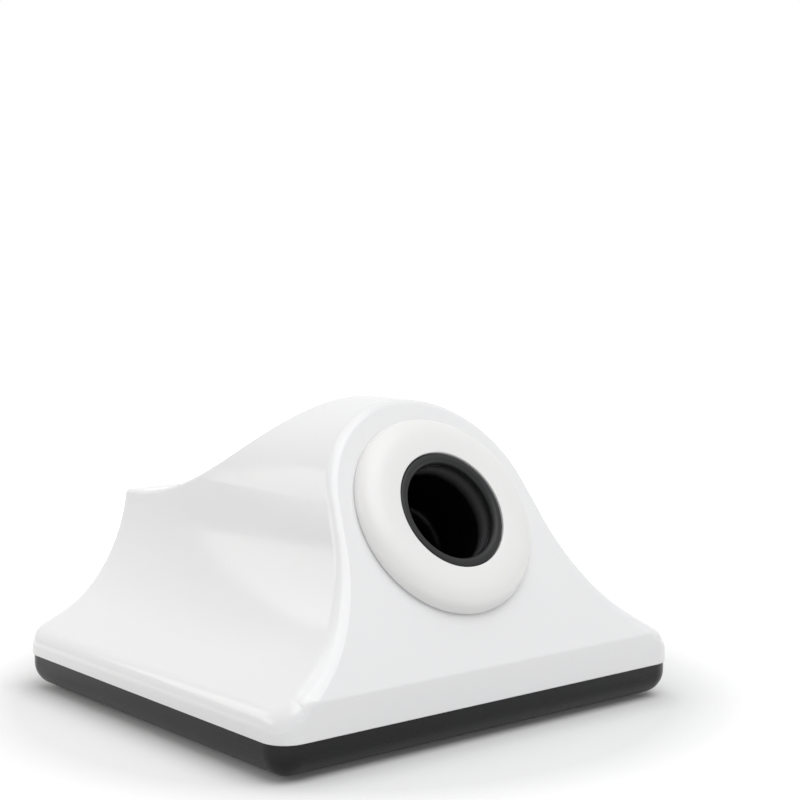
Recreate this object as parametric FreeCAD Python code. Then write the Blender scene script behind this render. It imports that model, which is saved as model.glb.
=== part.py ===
"""Wax knife heater: a bell-shaped desk unit with a slanted mouth into which the tip of a wax knife is dipped.

Frame: origin on the floor under the middle of the case, +X to the right seen from the front, +Y to the
rear, +Z up. All sizes are in millimetres.
"""

import FreeCAD, Part
import math
import os
from FreeCAD import Placement, Rotation
from FreeCAD import Vector as V

# Case, seen from above and from the side
CASE_WIDTH = 135.0
CASE_DEPTH = 125.0
PLAN_CORNER = 7.1
SEAM_HEIGHT = 9.9
SEAM_EDGE_ROUND = 0.4
SHELL_WALL = 2.4
FOOT_DROP = 1.0

# Slanted front face with the dome round the mouth
FACE_TILT = 30.6
MOUTH_HEIGHT = 54.8
MOUTH_SETBACK = 21.1
DOME_RADIUS = 34.0
DOME_SIDE_ANGLE = 12.0
CREST_ROUND = 2.5

# Flank and lip
FLANK_ROUND = 46.0
FLANK_SLOPE = 33.0
LIP_HEIGHT = 12.6
LIP_ROUND = 6.0
FRONT_LIP_ROUND = 1.2
LOW_RIDGE_ROUND = 5.5

# Scoop in the roof and rear wall
SCOOP_RADIUS = 87.3
SCOOP_FLOOR = 54.0
SCOOP_FROM_REAR = 2.5
SCOOP_ROUND = 1.4
REAR_LEAN = 5.4
REAR_STEP = 3.8
REAR_STEP_HEIGHT = 24.5
REAR_RAMP = 50.0
REAR_FOOT_ROUND = 6.0
REAR_RIDGE_ROUND = 2.2
REAR_TOP_ROUND = 2.0

# Tray
TRAY_INSET = 0.45
TRAY_WALL = 3.4
TRAY_FLOOR = 2.6
TRAY_ROUND = 6.6
TONGUE_HEIGHT = 2.5
TONGUE_WALL = 1.3
TONGUE_GAP = 0.15

# Case screws, feet
CASE_SCREW_X = 54.0
CASE_SCREW_Y = 48.0
CASE_SCREW_SHANK = 1.45
CASE_SCREW_HEAD = 3.0
CASE_SCREW_HEAD_HEIGHT = 2.2
CASE_SCREW_LENGTH = 13.0
CASE_BOSS_RADIUS = 4.4
CASE_BOSS_JOINT = 11.0
COUNTERBORE_DEPTH = 4.0
FOOT_X = 42.0
FOOT_Y = 40.0
FOOT_RADIUS = 6.5
FOOT_POCKET = 1.0
FOOT_EDGE = 0.4

# Bezel ring
RING_RADIUS = 27.35
RING_THICKNESS = 4.9
RING_EDGE_WIDTH = 5.3
RING_EDGE_DROP = 4.2
RING_SHADOW_GAP = 0.35
RING_SHADOW_DEPTH = 0.45
SPIGOT_RADIUS = 19.6
SPIGOT_LENGTH = 5.4
HOOK_COUNT = 4
HOOK_REACH = 1.3
HOOK_HEIGHT = 2.0
HOOK_WIDTH = 7.0

# Mouth rim and heating cup
MOUTH_RADIUS = 13.3
RIM_RADIUS = 16.1
RIM_DROP = 0.45
RING_BORE_ROUND = 0.35
CUP_WALL = 1.3
CUP_DEPTH = 43.0
CUP_END_WALL = 1.6
CUP_END_ROUND = 2.5
CUP_FLANGE = 1.6
RIM_LEDGE = 0.5

# Cup bracket and coil
BRACKET_THICKNESS = 2.4
BRACKET_RADIUS = 21.5
BRACKET_SCREW_CIRCLE = 25.6
BRACKET_SCREWS = 3
BRACKET_EAR = 3.6
SMALL_SCREW_SHANK = 1.2
SMALL_SCREW_HEAD = 2.5
SMALL_SCREW_HEAD_HEIGHT = 1.7
SMALL_SCREW_LENGTH = 5.0
FORMER_WALL = 1.2
FORMER_LENGTH = 25.0
FORMER_FLANGE = 20.6
FORMER_FLANGE_THICKNESS = 1.3
COIL_THICKNESS = 3.2

# Sensor behind the cup
SENSOR_POST = 3.0
SENSOR_POST_RADIUS = 1.6
SENSOR_POST_SPREAD = 8.5
SENSOR_BOARD_RADIUS = 12.0
SENSOR_SPREAD = 3.2
LED_RADIUS = 1.5

# Power board and what stands on it
BOARD_THICKNESS = 1.6
BOARD_WIDTH = 84.0
BOARD_DEPTH = 42.0
BOARD_FROM_REAR = 9.5
BOARD_HEIGHT = 8.0
BOARD_SCREW_INSET = 3.6
POST_RADIUS = 2.8
SIDE_BAY = 22.0
SINK_HEIGHT = 18.0
SINK_BASE = 3.0
SINK_FINS = 8
SINK_FIN = 1.5
SINK_FIN_DEPTH = 9.0
SINK_FRONT = 4.4
TRANSISTOR_WIDTH = 10.2
TRANSISTOR_HEIGHT = 15.0
TRANSISTOR_THICKNESS = 4.5
TRANSISTOR_SPREAD = 11.0
LEAD_HEIGHT = 4.5
LEAD_PITCH = 2.54
LEAD_WIDTH = 0.8
CAN_FROM_SIDE = 5.6
CAN_WIRE_GAP = 2.2
CAN_RADIUS = 6.3
CAN_HEIGHT = 18.0
CHOKE_FROM_SIDE = 1.3
CHOKE_FROM_MIDDLE = 2.3
CHOKE_RADIUS = 5.6
CHOKE_WIRE = 2.6
FILM_CAP_WIDTH = 18.0
FILM_CAP_DEPTH = 6.5
FILM_CAP_HEIGHT = 13.0
FILM_CAP_FROM_SIDE = 7.0
FILM_CAP_FROM_EDGE = 1.05
CHIP_WIDTH = 10.0
CHIP_DEPTH = 6.0
CHIP_HEIGHT = 2.2
CHIP_FROM_MIDDLE = 1.0
CHIP_PINS = 8
CHIP_LEG = 1.2
TERMINAL_WIDTH = 10.0
TERMINAL_DEPTH = 7.6
TERMINAL_HEIGHT = 9.0
SUPPLY_TERMINAL_FROM_SIDE = 11.0
SUPPLY_TERMINAL_FROM_EDGE = 3.2
COIL_TERMINAL_FROM_SIDE = 7.8
COIL_TERMINAL_FROM_EDGE = 0.5
PART_SPACING = 1.0

# Rear panel: rocker switch and power inlet
PANEL_HEIGHT = 35.0
SWITCH_X = 20.0
SWITCH_CUT_WIDTH = 12.8
SWITCH_CUT_HEIGHT = 19.0
SWITCH_FLANGE = 1.4
SWITCH_FLANGE_MARGIN = 1.1
SWITCH_DEPTH = 12.0
SWITCH_WALL = 1.2
ROCKER_TILT = 11.0
ROCKER_PIVOT_DEPTH = 2.9
ROCKER_TOP = 0.6
ROCKER_DISH = 0.9
ROCKER_PIN = 1.2
BLADE_WIDTH = 4.8
BLADE_THICKNESS = 0.8
BLADE_LENGTH = 7.0
BLADE_SPREAD = 4.0
INLET_X = -20.0
INLET_BARREL = 5.5
INLET_FLANGE_RADIUS = 7.0
INLET_FLANGE = 1.6
INLET_BODY_LENGTH = 14.0
INLET_SOCKET = 3.1
INLET_SOCKET_DEPTH = 9.5
INLET_PIN = 1.05
INLET_PIN_RECESS = 1.0
INLET_NUT = 2.4
LUG_LENGTH = 4.0
LUG_SPREAD = 2.6
INLET_NUT_FLATS = 14.0

# Wires and clearances
WIRE_RADIUS = 0.6
WIRE_STRAIGHT = 10.4
SENSOR_WIRE_STRAIGHT = 7.0
WIRE_LEVEL_GAP = 1.8
FIT_GAP = 0.1
RUN_GAP = 0.05
SCREW_GAP = 0.05
SEAT_GAP = 0.2

# Worked-out places
TILT = math.radians(FACE_TILT)
LEAN = math.radians(REAR_LEAN)
MOUTH = V(0, MOUTH_SETBACK - CASE_DEPTH / 2, MOUTH_HEIGHT)
OUT = V(0, -math.cos(TILT), math.sin(TILT))
UP_FACE = V(0, math.sin(TILT), math.cos(TILT))
REAR_OUT = V(0, math.cos(LEAN), -math.sin(LEAN))
REAR_UP = V(0, math.sin(LEAN), math.cos(LEAN))
FAR = 3 * CASE_WIDTH
TRAY_TOP_FLOOR = FOOT_DROP + TRAY_FLOOR
RIM_END = -SPIGOT_LENGTH + CUP_FLANGE
BRACKET_FRONT = RIM_END - CUP_FLANGE
BRACKET_BACK = BRACKET_FRONT - BRACKET_THICKNESS
CUP_END = RING_THICKNESS - CUP_DEPTH
CUP_OUTER = MOUTH_RADIUS + CUP_WALL
BOARD_TOP = BOARD_HEIGHT + BOARD_THICKNESS
BOARD_Y = CASE_DEPTH / 2 - BOARD_FROM_REAR - BOARD_DEPTH / 2
SINK_WIDTH = BOARD_WIDTH - 2 * SIDE_BAY


def axes_placement(base, x_axis, y_axis, z_axis):
    """Placement that carries a piece drawn at the origin to a base point and three axes."""
    return Placement(base, Rotation(x_axis, y_axis, z_axis, "ZXY"))


FACE_FRAME = axes_placement(MOUTH, V(1, 0, 0), UP_FACE, OUT)


def rear_wall_y(height):
    """Y of the rear wall's outer face at a height."""
    return CASE_DEPTH / 2 - REAR_STEP + math.tan(LEAN) * (height - REAR_STEP_HEIGHT)


def rear_frame(x):
    """Placement of a panel part: drawn with +Z out of the wall and +Y up along it."""
    return axes_placement(V(x, rear_wall_y(PANEL_HEIGHT), PANEL_HEIGHT), V(-1, 0, 0), REAR_UP, REAR_OUT)


def placed(shape, frame):
    """Copy of a shape drawn at the origin, carried to a frame."""
    moved = shape.copy()
    moved.Placement = frame.multiply(moved.Placement)
    return moved


def fused(shapes):
    """One solid out of several that meet."""
    first = shapes[0]
    return first.multiFuse(shapes[1:]).removeSplitter()


def cylinder(radius, z_low, z_high, x=0.0, y=0.0):
    """Upright cylinder between two heights."""
    return Part.makeCylinder(radius, z_high - z_low, V(x, y, z_low))


def tube(outer, inner, z_low, z_high):
    """Upright tube between two heights."""
    return cylinder(outer, z_low, z_high).cut(cylinder(inner, z_low - 1, z_high + 1))


def box(x_size, y_size, z_low, z_high, x=0.0, y=0.0):
    """Box centred on x, y, between two heights."""
    return Part.makeBox(x_size, y_size, z_high - z_low, V(x - x_size / 2, y - y_size / 2, z_low))


def rounded_block(x_size, y_size, z_low, z_high, radius):
    """Block with rounded upright edges, centred on the origin."""
    block = box(x_size, y_size, z_low, z_high)
    upright = [e for e in block.Edges if abs(e.Vertexes[0].Z - e.Vertexes[-1].Z) > 1e-6]
    return block.makeFillet(radius, upright)


def line(start, end):
    """Straight edge."""
    return Part.LineSegment(start, end).toShape()


def revolved(outline):
    """Solid of revolution about Z of a closed outline of (radius, height) points."""
    points = [V(r, 0, z) for r, z in outline]
    face = Part.Face(Part.makePolygon(points + points[:1]))
    return face.revolve(V(0, 0, 0), V(0, 0, 1), 360)


def crossing(p, d, q, e):
    """Point where the line from p along d meets the line from q along e, in a plane."""
    step = ((q[0] - p[0]) * e[1] - (q[1] - p[1]) * e[0]) / (d[0] * e[1] - d[1] * e[0])
    return (p[0] + step * d[0], p[1] + step * d[1])


def corner_arc(corner, before, after, radius):
    """Start, middle and end of the arc that rounds a corner between two directions, in a plane."""
    turn = math.acos(before[0] * after[0] + before[1] * after[1])
    reach = radius * math.tan(turn / 2)
    inward = (after[0] - before[0], after[1] - before[1])
    size = math.hypot(*inward)
    inset = radius / math.cos(turn / 2) - radius
    start = (corner[0] - before[0] * reach, corner[1] - before[1] * reach)
    middle = (corner[0] + inward[0] / size * inset, corner[1] + inward[1] / size * inset)
    end = (corner[0] + after[0] * reach, corner[1] + after[1] * reach)
    return start, middle, end


def bell_face(inset):
    """Front view of the body: elliptic dome, flared flanks, straight run past the lip."""
    half_width = DOME_RADIUS - inset
    half_height = half_width * math.cos(TILT)
    side = math.radians(DOME_SIDE_ANGLE)
    slope = math.radians(FLANK_SLOPE)
    dome_end = (half_width * math.cos(side), MOUTH_HEIGHT + half_height * math.sin(side))
    fall = math.hypot(half_width * math.sin(side), half_height * math.cos(side))
    down = (half_width * math.sin(side) / fall, -half_height * math.cos(side) / fall)
    along = (math.cos(slope), -math.sin(slope))
    lip_centre = (CASE_WIDTH / 2 - LIP_ROUND, LIP_HEIGHT)
    lip_radius = LIP_ROUND - inset
    ramp = (lip_centre[0] + lip_radius * math.sin(slope), lip_centre[1] + lip_radius * math.cos(slope))
    corner = crossing(dome_end, down, ramp, along)
    arc = corner_arc(corner, down, along, FLANK_ROUND + inset)
    past = (ramp[0] + along[0] * 3 * LIP_ROUND, ramp[1] + along[1] * 3 * LIP_ROUND)
    ellipse = Part.Ellipse(
        V(half_width, 0, MOUTH_HEIGHT), V(0, 0, MOUTH_HEIGHT + half_height), V(0, 0, MOUTH_HEIGHT)
    )
    edges = [ellipse.toShape(side, math.pi - side)]
    for hand in (1, -1):
        p0, p1, p2, p3, p4 = [V(hand * x, 0, z) for x, z in (dome_end, *arc, past)]
        low = V(p4.x, 0, -CASE_DEPTH)
        edges += [line(p0, p1), Part.Arc(p1, p2, p3).toShape(), line(p3, p4), line(p4, low)]
    edges.append(line(V(-past[0], 0, -CASE_DEPTH), V(past[0], 0, -CASE_DEPTH)))
    return Part.Face(Part.Wire(Part.__sortEdges__(edges)))


def rear_block(inset):
    """What lies behind the rear wall: leaning wall, hollow round its foot, ramp past the lip."""
    ramp_angle = math.radians(REAR_RAMP)
    down = (-math.sin(LEAN), -math.cos(LEAN))
    along = (math.cos(ramp_angle), -math.sin(ramp_angle))
    lip_centre = (CASE_DEPTH / 2 - LIP_ROUND, LIP_HEIGHT)
    lip_radius = LIP_ROUND - inset
    ramp = (
        lip_centre[0] + lip_radius * math.sin(ramp_angle),
        lip_centre[1] + lip_radius * math.cos(ramp_angle),
    )
    wall = (rear_wall_y(REAR_STEP_HEIGHT) - inset / math.cos(LEAN), REAR_STEP_HEIGHT)
    corner = crossing(wall, down, ramp, along)
    arc = corner_arc(corner, down, along, REAR_FOOT_ROUND + inset)
    past = (ramp[0] + along[0] * 3 * LIP_ROUND, ramp[1] + along[1] * 3 * LIP_ROUND)
    top = (wall[0] + math.tan(LEAN) * (FAR - wall[1]), FAR)
    a, b, c = [V(-FAR, y, z) for y, z in arc]
    ring = [c, V(-FAR, *past), V(-FAR, past[0], -FAR), V(-FAR, 2 * FAR, -FAR), V(-FAR, 2 * FAR, FAR)]
    ring += [V(-FAR, *top), a]
    edges = [Part.Arc(a, b, c).toShape()] + [line(p, q) for p, q in zip(ring, ring[1:])]
    return Part.Face(Part.Wire(edges)).extrude(V(2 * FAR, 0, 0))


def front_block(inset):
    """What lies in front of the slanted face."""
    block = box(2 * FAR, 2 * FAR, -inset, FAR)
    return placed(block, FACE_FRAME)


def plan_block(inset, z_low, z_high):
    """Upright block with the case's rounded plan."""
    return rounded_block(
        CASE_WIDTH - 2 * inset, CASE_DEPTH - 2 * inset, z_low, z_high, max(PLAN_CORNER - inset, 0.3)
    )


def scoop_cutter(inset):
    """Cylinder across the roof that hollows it behind the crest."""
    centre = V(-FAR, CASE_DEPTH / 2 - SCOOP_FROM_REAR, SCOOP_FLOOR + SCOOP_RADIUS)
    return Part.makeCylinder(SCOOP_RADIUS + inset, 2 * FAR, centre, V(1, 0, 0))


def swept_bell(inset):
    """Bell section run straight back, cut by the slanted face and the rear wall."""
    face = bell_face(inset)
    face.translate(V(0, -CASE_DEPTH, 0))
    body = face.extrude(V(0, 2 * CASE_DEPTH, 0))
    return body.cut(front_block(inset)).cut(rear_block(inset))


def graded(height, low, high):
    """Radius between two (height, radius) marks."""
    share = (height - low[0]) / (high[0] - low[0])
    return low[1] + (high[1] - low[1]) * min(max(share, 0.0), 1.0)


def graded_fillet(shape, chosen):
    """Fillet whose radius runs from one value to another along each (edge number, start, end)."""
    document = FreeCAD.newDocument("fillet")
    base = document.addObject("Part::Feature", "base")
    base.Shape = shape
    rounded = document.addObject("Part::Fillet", "rounded")
    rounded.Base = base
    rounded.Edges = chosen
    document.recompute()
    result = rounded.Shape.copy()
    FreeCAD.closeDocument(document.Name)
    return result


def edge_ends(edge):
    """First and last point of an edge, in its own direction."""
    return edge.valueAt(edge.FirstParameter), edge.valueAt(edge.LastParameter)


def ridge_edges(body):
    """Edges of the slanted face and of the rear wall that meet the dome and the flanks."""
    chosen = []
    low = LIP_HEIGHT + LIP_ROUND
    for number, edge in enumerate(body.Edges, 1):
        start, end = edge_ends(edge)
        middle = edge.CenterOfMass
        beyond = abs(start.x) > CASE_WIDTH / 2 and abs(end.x) > CASE_WIDTH / 2
        along_y = abs(start.x - end.x) < 1e-6 and abs(start.z - end.z) < 1e-6
        across = abs(start.z - end.z) < 1e-6 and middle.z < MOUTH_HEIGHT
        if beyond or along_y or across:
            continue
        if all(abs((p - MOUTH).dot(OUT)) < 1e-4 for p in (start, middle, end)):
            high = (MOUTH_HEIGHT, CREST_ROUND)
            radii = [graded(p.z, (low, LOW_RIDGE_ROUND + 1.0), high) for p in (start, end)]
            chosen.append((number, *radii))
        elif middle.y > CASE_DEPTH / 4:
            high = (MOUTH_HEIGHT, REAR_RIDGE_ROUND)
            radii = [graded(p.z, (low, LOW_RIDGE_ROUND), high) for p in (start, end)]
            chosen.append((number, *radii))
    return chosen


def is_lip_wall(face):
    """Whether a face is one of the upright sides of the lip."""
    u0, u1, v0, v1 = face.ParameterRange
    middle = face.valueAt((u0 + u1) / 2, (v0 + v1) / 2)
    normal = face.normalAt((u0 + u1) / 2, (v0 + v1) / 2)
    beside = abs(abs(middle.x) - CASE_WIDTH / 2) < 1e-3 or abs(abs(middle.y) - CASE_DEPTH / 2) < 1e-3
    corner = isinstance(face.Surface, Part.Cylinder) and abs(face.Surface.Axis.z) > 0.99
    return abs(normal.z) < 1e-6 and (beside or corner)


def lip_radius_at(point):
    """Lip rounding: full on the sides and the rear, fading round the front corners to a crisp front."""
    behind_front = point.y + CASE_DEPTH / 2
    if abs(point.x) < CASE_WIDTH / 2 - PLAN_CORNER + 1e-3 and point.y < 0:
        return FRONT_LIP_ROUND
    return graded(behind_front, (0.0, FRONT_LIP_ROUND), (PLAN_CORNER, LIP_ROUND))


def lip_edges(body):
    """Top edges of the lip's upright sides, all the way round."""
    walls = [face for face in body.Faces if is_lip_wall(face)]
    chosen = []
    for number, edge in enumerate(body.Edges, 1):
        start, end = edge_ends(edge)
        if not SEAM_HEIGHT + 0.1 < edge.CenterOfMass.z < REAR_STEP_HEIGHT:
            continue
        if sum(1 for wall in walls if any(edge.isSame(other) for other in wall.Edges)) == 1:
            chosen.append((number, lip_radius_at(start), lip_radius_at(end)))
    return chosen


def scoop_edges(body):
    """Edges round the scoop, a little rounder across the rear than along the sides."""
    centre = V(0, CASE_DEPTH / 2 - SCOOP_FROM_REAR, SCOOP_FLOOR + SCOOP_RADIUS)
    rear = rear_wall_y(SCOOP_FLOOR)
    chosen = []
    for number, edge in enumerate(body.Edges, 1):
        span = edge.LastParameter - edge.FirstParameter
        points = [edge.valueAt(edge.FirstParameter + span * k / 4) for k in range(5)]
        if all(abs(math.hypot(p.y - centre.y, p.z - centre.z) - SCOOP_RADIUS) < 1e-3 for p in points):
            side = (rear - REAR_RIDGE_ROUND, SCOOP_ROUND)
            radii = [graded(p.y, side, (rear, REAR_TOP_ROUND)) for p in edge_ends(edge)]
            chosen.append((number, *radii))
    return chosen


def outer_form():
    """Outside of the white shell, above the seam."""
    body = swept_bell(0.0)
    body = graded_fillet(body, ridge_edges(body))
    body = body.common(plan_block(0.0, SEAM_HEIGHT, FAR))
    body = graded_fillet(body, lip_edges(body))
    body = body.cut(scoop_cutter(0.0))
    return graded_fillet(body, scoop_edges(body))


def inner_form(inset):
    """Hollow of the shell: the same form drawn in by a wall, without its roundings."""
    body = swept_bell(inset)
    body = body.common(plan_block(inset, SEAM_HEIGHT - 1, FAR))
    return body.cut(scoop_cutter(inset))


def corners(x, y):
    """The four points of a rectangle about the origin."""
    return [(sx * x, sy * y) for sx in (-1, 1) for sy in (-1, 1)]


def ring_points(radius, count, first_angle=90.0):
    """Points spaced round a circle, as (x, y, angle in degrees)."""
    angles = [first_angle + 360.0 * k / count for k in range(count)]
    return [
        (radius * math.cos(math.radians(a)), radius * math.sin(math.radians(a)), a) for a in angles
    ]


def upper_shell():
    """White shell with its bosses, mouth hole and panel cut-outs."""
    outside = outer_form()
    outside = outside.makeFillet(SEAM_EDGE_ROUND, bottom_edges(outside, SEAM_HEIGHT))
    shell = outside.cut(inner_form(SHELL_WALL))
    core = inner_form(SHELL_WALL / 2)
    bosses = [
        cylinder(CASE_BOSS_RADIUS - 0.8, CASE_BOSS_JOINT, MOUTH_HEIGHT, x, y).common(core)
        for x, y in corners(CASE_SCREW_X, CASE_SCREW_Y)
    ]
    for x, y, _ in ring_points(BRACKET_SCREW_CIRCLE, BRACKET_SCREWS):
        boss = cylinder(BRACKET_EAR - 0.4, BRACKET_FRONT, -SHELL_WALL / 2, x, y)
        bosses.append(placed(boss, FACE_FRAME))
    shell = shell.multiFuse(bosses)
    cuts = [
        cylinder(CASE_SCREW_SHANK + SCREW_GAP, CASE_BOSS_JOINT - 1, screw_tip() + 0.5, x, y)
        for x, y in corners(CASE_SCREW_X, CASE_SCREW_Y)
    ]
    cuts.append(placed(cylinder(SPIGOT_RADIUS + SEAT_GAP, -4 * SHELL_WALL, SHELL_WALL), FACE_FRAME))
    for x, y, _ in ring_points(BRACKET_SCREW_CIRCLE, BRACKET_SCREWS):
        tip = BRACKET_BACK + SMALL_SCREW_LENGTH + 0.3
        cuts.append(
            placed(cylinder(SMALL_SCREW_SHANK + SCREW_GAP, BRACKET_FRONT - 1, tip, x, y), FACE_FRAME)
        )
    slot = rounded_block(
        SWITCH_CUT_WIDTH + FIT_GAP, SWITCH_CUT_HEIGHT + FIT_GAP, -3 * SHELL_WALL, SHELL_WALL, 0.4
    )
    cuts.append(placed(slot, rear_frame(SWITCH_X)))
    hole = cylinder(INLET_BARREL + FIT_GAP, -3 * SHELL_WALL, SHELL_WALL)
    cuts.append(placed(hole, rear_frame(INLET_X)))
    for cutter in cuts:
        shell = shell.cut(cutter)
    return shell.removeSplitter()


def tray_plan(inset, z_low, z_high):
    """Block with the tray's plan, drawn in from the shell's."""
    return plan_block(TRAY_INSET + inset, z_low, z_high)


def bottom_edges(shape, height):
    """Edges of a shape that lie at one height."""
    return [e for e in shape.Edges if all(abs(v.Z - height) < 1e-6 for v in e.Vertexes)]


def base_tray():
    """Black tray: rounded underside, screw bosses, board posts and the tongue that locates the shell."""
    outside = tray_plan(0.0, FOOT_DROP, SEAM_HEIGHT)
    outside = outside.makeFillet(TRAY_ROUND, bottom_edges(outside, FOOT_DROP))
    hollow = tray_plan(TRAY_WALL, TRAY_TOP_FLOOR, SEAM_HEIGHT + 1)
    hollow = hollow.makeFillet(TRAY_ROUND - TRAY_WALL, bottom_edges(hollow, TRAY_TOP_FLOOR))
    tongue_in = SHELL_WALL + TONGUE_GAP
    tongue = plan_block(tongue_in, SEAM_HEIGHT, SEAM_HEIGHT + TONGUE_HEIGHT)
    tongue = tongue.cut(plan_block(tongue_in + TONGUE_WALL, SEAM_HEIGHT - 1, 2 * SEAM_HEIGHT))
    parts = [outside.cut(hollow), tongue]
    for x, y in corners(CASE_SCREW_X, CASE_SCREW_Y):
        parts.append(cylinder(CASE_BOSS_RADIUS, FOOT_DROP + 0.5, CASE_BOSS_JOINT, x, y))
    for x, y in board_screw_points():
        parts.append(cylinder(POST_RADIUS, FOOT_DROP + 0.5, BOARD_HEIGHT, x, y))
    tray = fused(parts)
    seat = FOOT_DROP + COUNTERBORE_DEPTH
    for x, y in corners(CASE_SCREW_X, CASE_SCREW_Y):
        tray = tray.cut(cylinder(CASE_SCREW_SHANK + SEAT_GAP, 0, CASE_BOSS_JOINT + 1, x, y))
        tray = tray.cut(cylinder(CASE_SCREW_HEAD + SEAT_GAP, 0, seat, x, y))
    for x, y in corners(FOOT_X, FOOT_Y):
        tray = tray.cut(cylinder(FOOT_RADIUS + FIT_GAP, 0, FOOT_DROP + FOOT_POCKET, x, y))
    for x, y in board_screw_points():
        low = BOARD_TOP - SMALL_SCREW_LENGTH - 0.3
        tray = tray.cut(cylinder(SMALL_SCREW_SHANK + SCREW_GAP, low, BOARD_HEIGHT + 1, x, y))
    return tray.removeSplitter()


def screw_tip():
    """Height of the case screws' tips."""
    return FOOT_DROP + COUNTERBORE_DEPTH + CASE_SCREW_LENGTH


def pan_screw(head, head_height, shank, length):
    """Pan-head screw with its head's seat at height 0, the head above it and the shank below."""
    crown = head - 0.6
    body = revolved(
        [
            (0, -length),
            (shank * 0.5, -length),
            (shank, -length + shank),
            (shank, 0),
            (head, 0),
            (head, head_height * 0.45),
            (crown, head_height),
            (0, head_height),
        ]
    )
    slot_depth = head_height * 0.55
    for x_size, y_size in ((head, head * 0.28), (head * 0.28, head)):
        body = body.cut(box(x_size, y_size, head_height - slot_depth, head_height + 1))
    return body


def case_screws():
    """Four screws driven up through the tray into the shell."""
    screw = pan_screw(CASE_SCREW_HEAD, CASE_SCREW_HEAD_HEIGHT, CASE_SCREW_SHANK, CASE_SCREW_LENGTH)
    screw.rotate(V(0, 0, 0), V(1, 0, 0), 180)
    seat = FOOT_DROP + COUNTERBORE_DEPTH
    return Part.Compound([screw.translated(V(x, y, seat)) for x, y in corners(CASE_SCREW_X, CASE_SCREW_Y)])


def rubber_feet():
    """Four rubber discs in the tray's pockets."""
    foot = cylinder(FOOT_RADIUS, 0, FOOT_DROP + FOOT_POCKET)
    foot = foot.makeFillet(FOOT_EDGE, bottom_edges(foot, 0.0))
    return Part.Compound([foot.translated(V(x, y, 0)) for x, y in corners(FOOT_X, FOOT_Y)])


def rim_crown():
    """Height of the rim's crown above the slanted face."""
    return RING_THICKNESS - RIM_DROP


def rim_bead():
    """Radius of the rim's half-round bead."""
    return (RIM_RADIUS - MOUTH_RADIUS) / 2


def cup_edge():
    """Height of the cup's edge, which seats under the rim's bead."""
    return rim_crown() - rim_bead() - RIM_LEDGE


def bezel_ring():
    """White ring round the mouth: pillowed disc, shadow gap, spigot and snap hooks."""
    bore = RIM_RADIUS + FIT_GAP
    foot = RING_RADIUS - RING_SHADOW_DEPTH
    flat = V(RING_RADIUS - RING_EDGE_WIDTH, 0, RING_THICKNESS)
    side = V(RING_RADIUS, 0, RING_THICKNESS - RING_EDGE_DROP)
    middle = V(flat.x, 0, side.z)
    pillow = Part.Ellipse(side, flat, middle).toShape(0, math.pi / 2)
    corners_in_order = [
        flat,
        V(bore, 0, RING_THICKNESS),
        V(bore, 0, RING_SHADOW_GAP),
        V(RING_RADIUS, 0, RING_SHADOW_GAP),
        side,
    ]
    sides = [line(a, b) for a, b in zip(corners_in_order, corners_in_order[1:])]
    section = Part.Face(Part.Wire(Part.__sortEdges__([pillow, *sides])))
    disc = section.revolve(V(0, 0, 0), V(0, 0, 1), 360)
    bore_edge = [
        e
        for e in disc.Edges
        if abs(e.CenterOfMass.z - RING_THICKNESS) < 1e-6 and e.BoundBox.XLength < 2 * bore + 1
    ]
    disc = disc.makeFillet(RING_BORE_ROUND, bore_edge)
    parts = [disc, tube(foot, bore, 0, RING_SHADOW_GAP), tube(SPIGOT_RADIUS, bore, -SPIGOT_LENGTH, 0)]
    hook_low = -SHELL_WALL - SEAT_GAP - HOOK_HEIGHT
    hook = revolved(
        [
            (SPIGOT_RADIUS - 0.5, hook_low),
            (SPIGOT_RADIUS, hook_low),
            (SPIGOT_RADIUS + HOOK_REACH, hook_low + HOOK_HEIGHT),
            (SPIGOT_RADIUS - 0.5, hook_low + HOOK_HEIGHT),
        ]
    )
    slice_box = Part.makeBox(RING_RADIUS, HOOK_WIDTH, 4 * HOOK_HEIGHT)
    slice_box.translate(V(0, -HOOK_WIDTH / 2, hook_low - HOOK_HEIGHT))
    piece = hook.common(slice_box)
    for _, _, angle in ring_points(SPIGOT_RADIUS, HOOK_COUNT, 30.0):
        turned = piece.copy()
        turned.rotate(V(0, 0, 0), V(0, 0, 1), angle)
        parts.append(turned)
    return placed(fused(parts), FACE_FRAME)


def tunnel_rim():
    """Dark rim of the mouth: a half-round bead that covers the cup's edge, on a sleeve round its neck."""
    bead = rim_bead()
    crown = rim_crown()
    outer = V(RIM_RADIUS, 0, crown - bead)
    inner = V(MOUTH_RADIUS, 0, crown - bead)
    bore = CUP_OUTER + FIT_GAP
    below = [
        inner,
        V(MOUTH_RADIUS, 0, cup_edge()),
        V(bore, 0, cup_edge()),
        V(bore, 0, RIM_END),
        V(RIM_RADIUS, 0, RIM_END),
        outer,
    ]
    arch = Part.Arc(outer, V(MOUTH_RADIUS + bead, 0, crown), inner).toShape()
    wire = Part.Wire([arch, *[line(a, b) for a, b in zip(below, below[1:])]])
    sleeve = Part.Face(wire).revolve(V(0, 0, 0), V(0, 0, 1), 360)
    return placed(sleeve, FACE_FRAME)


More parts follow.
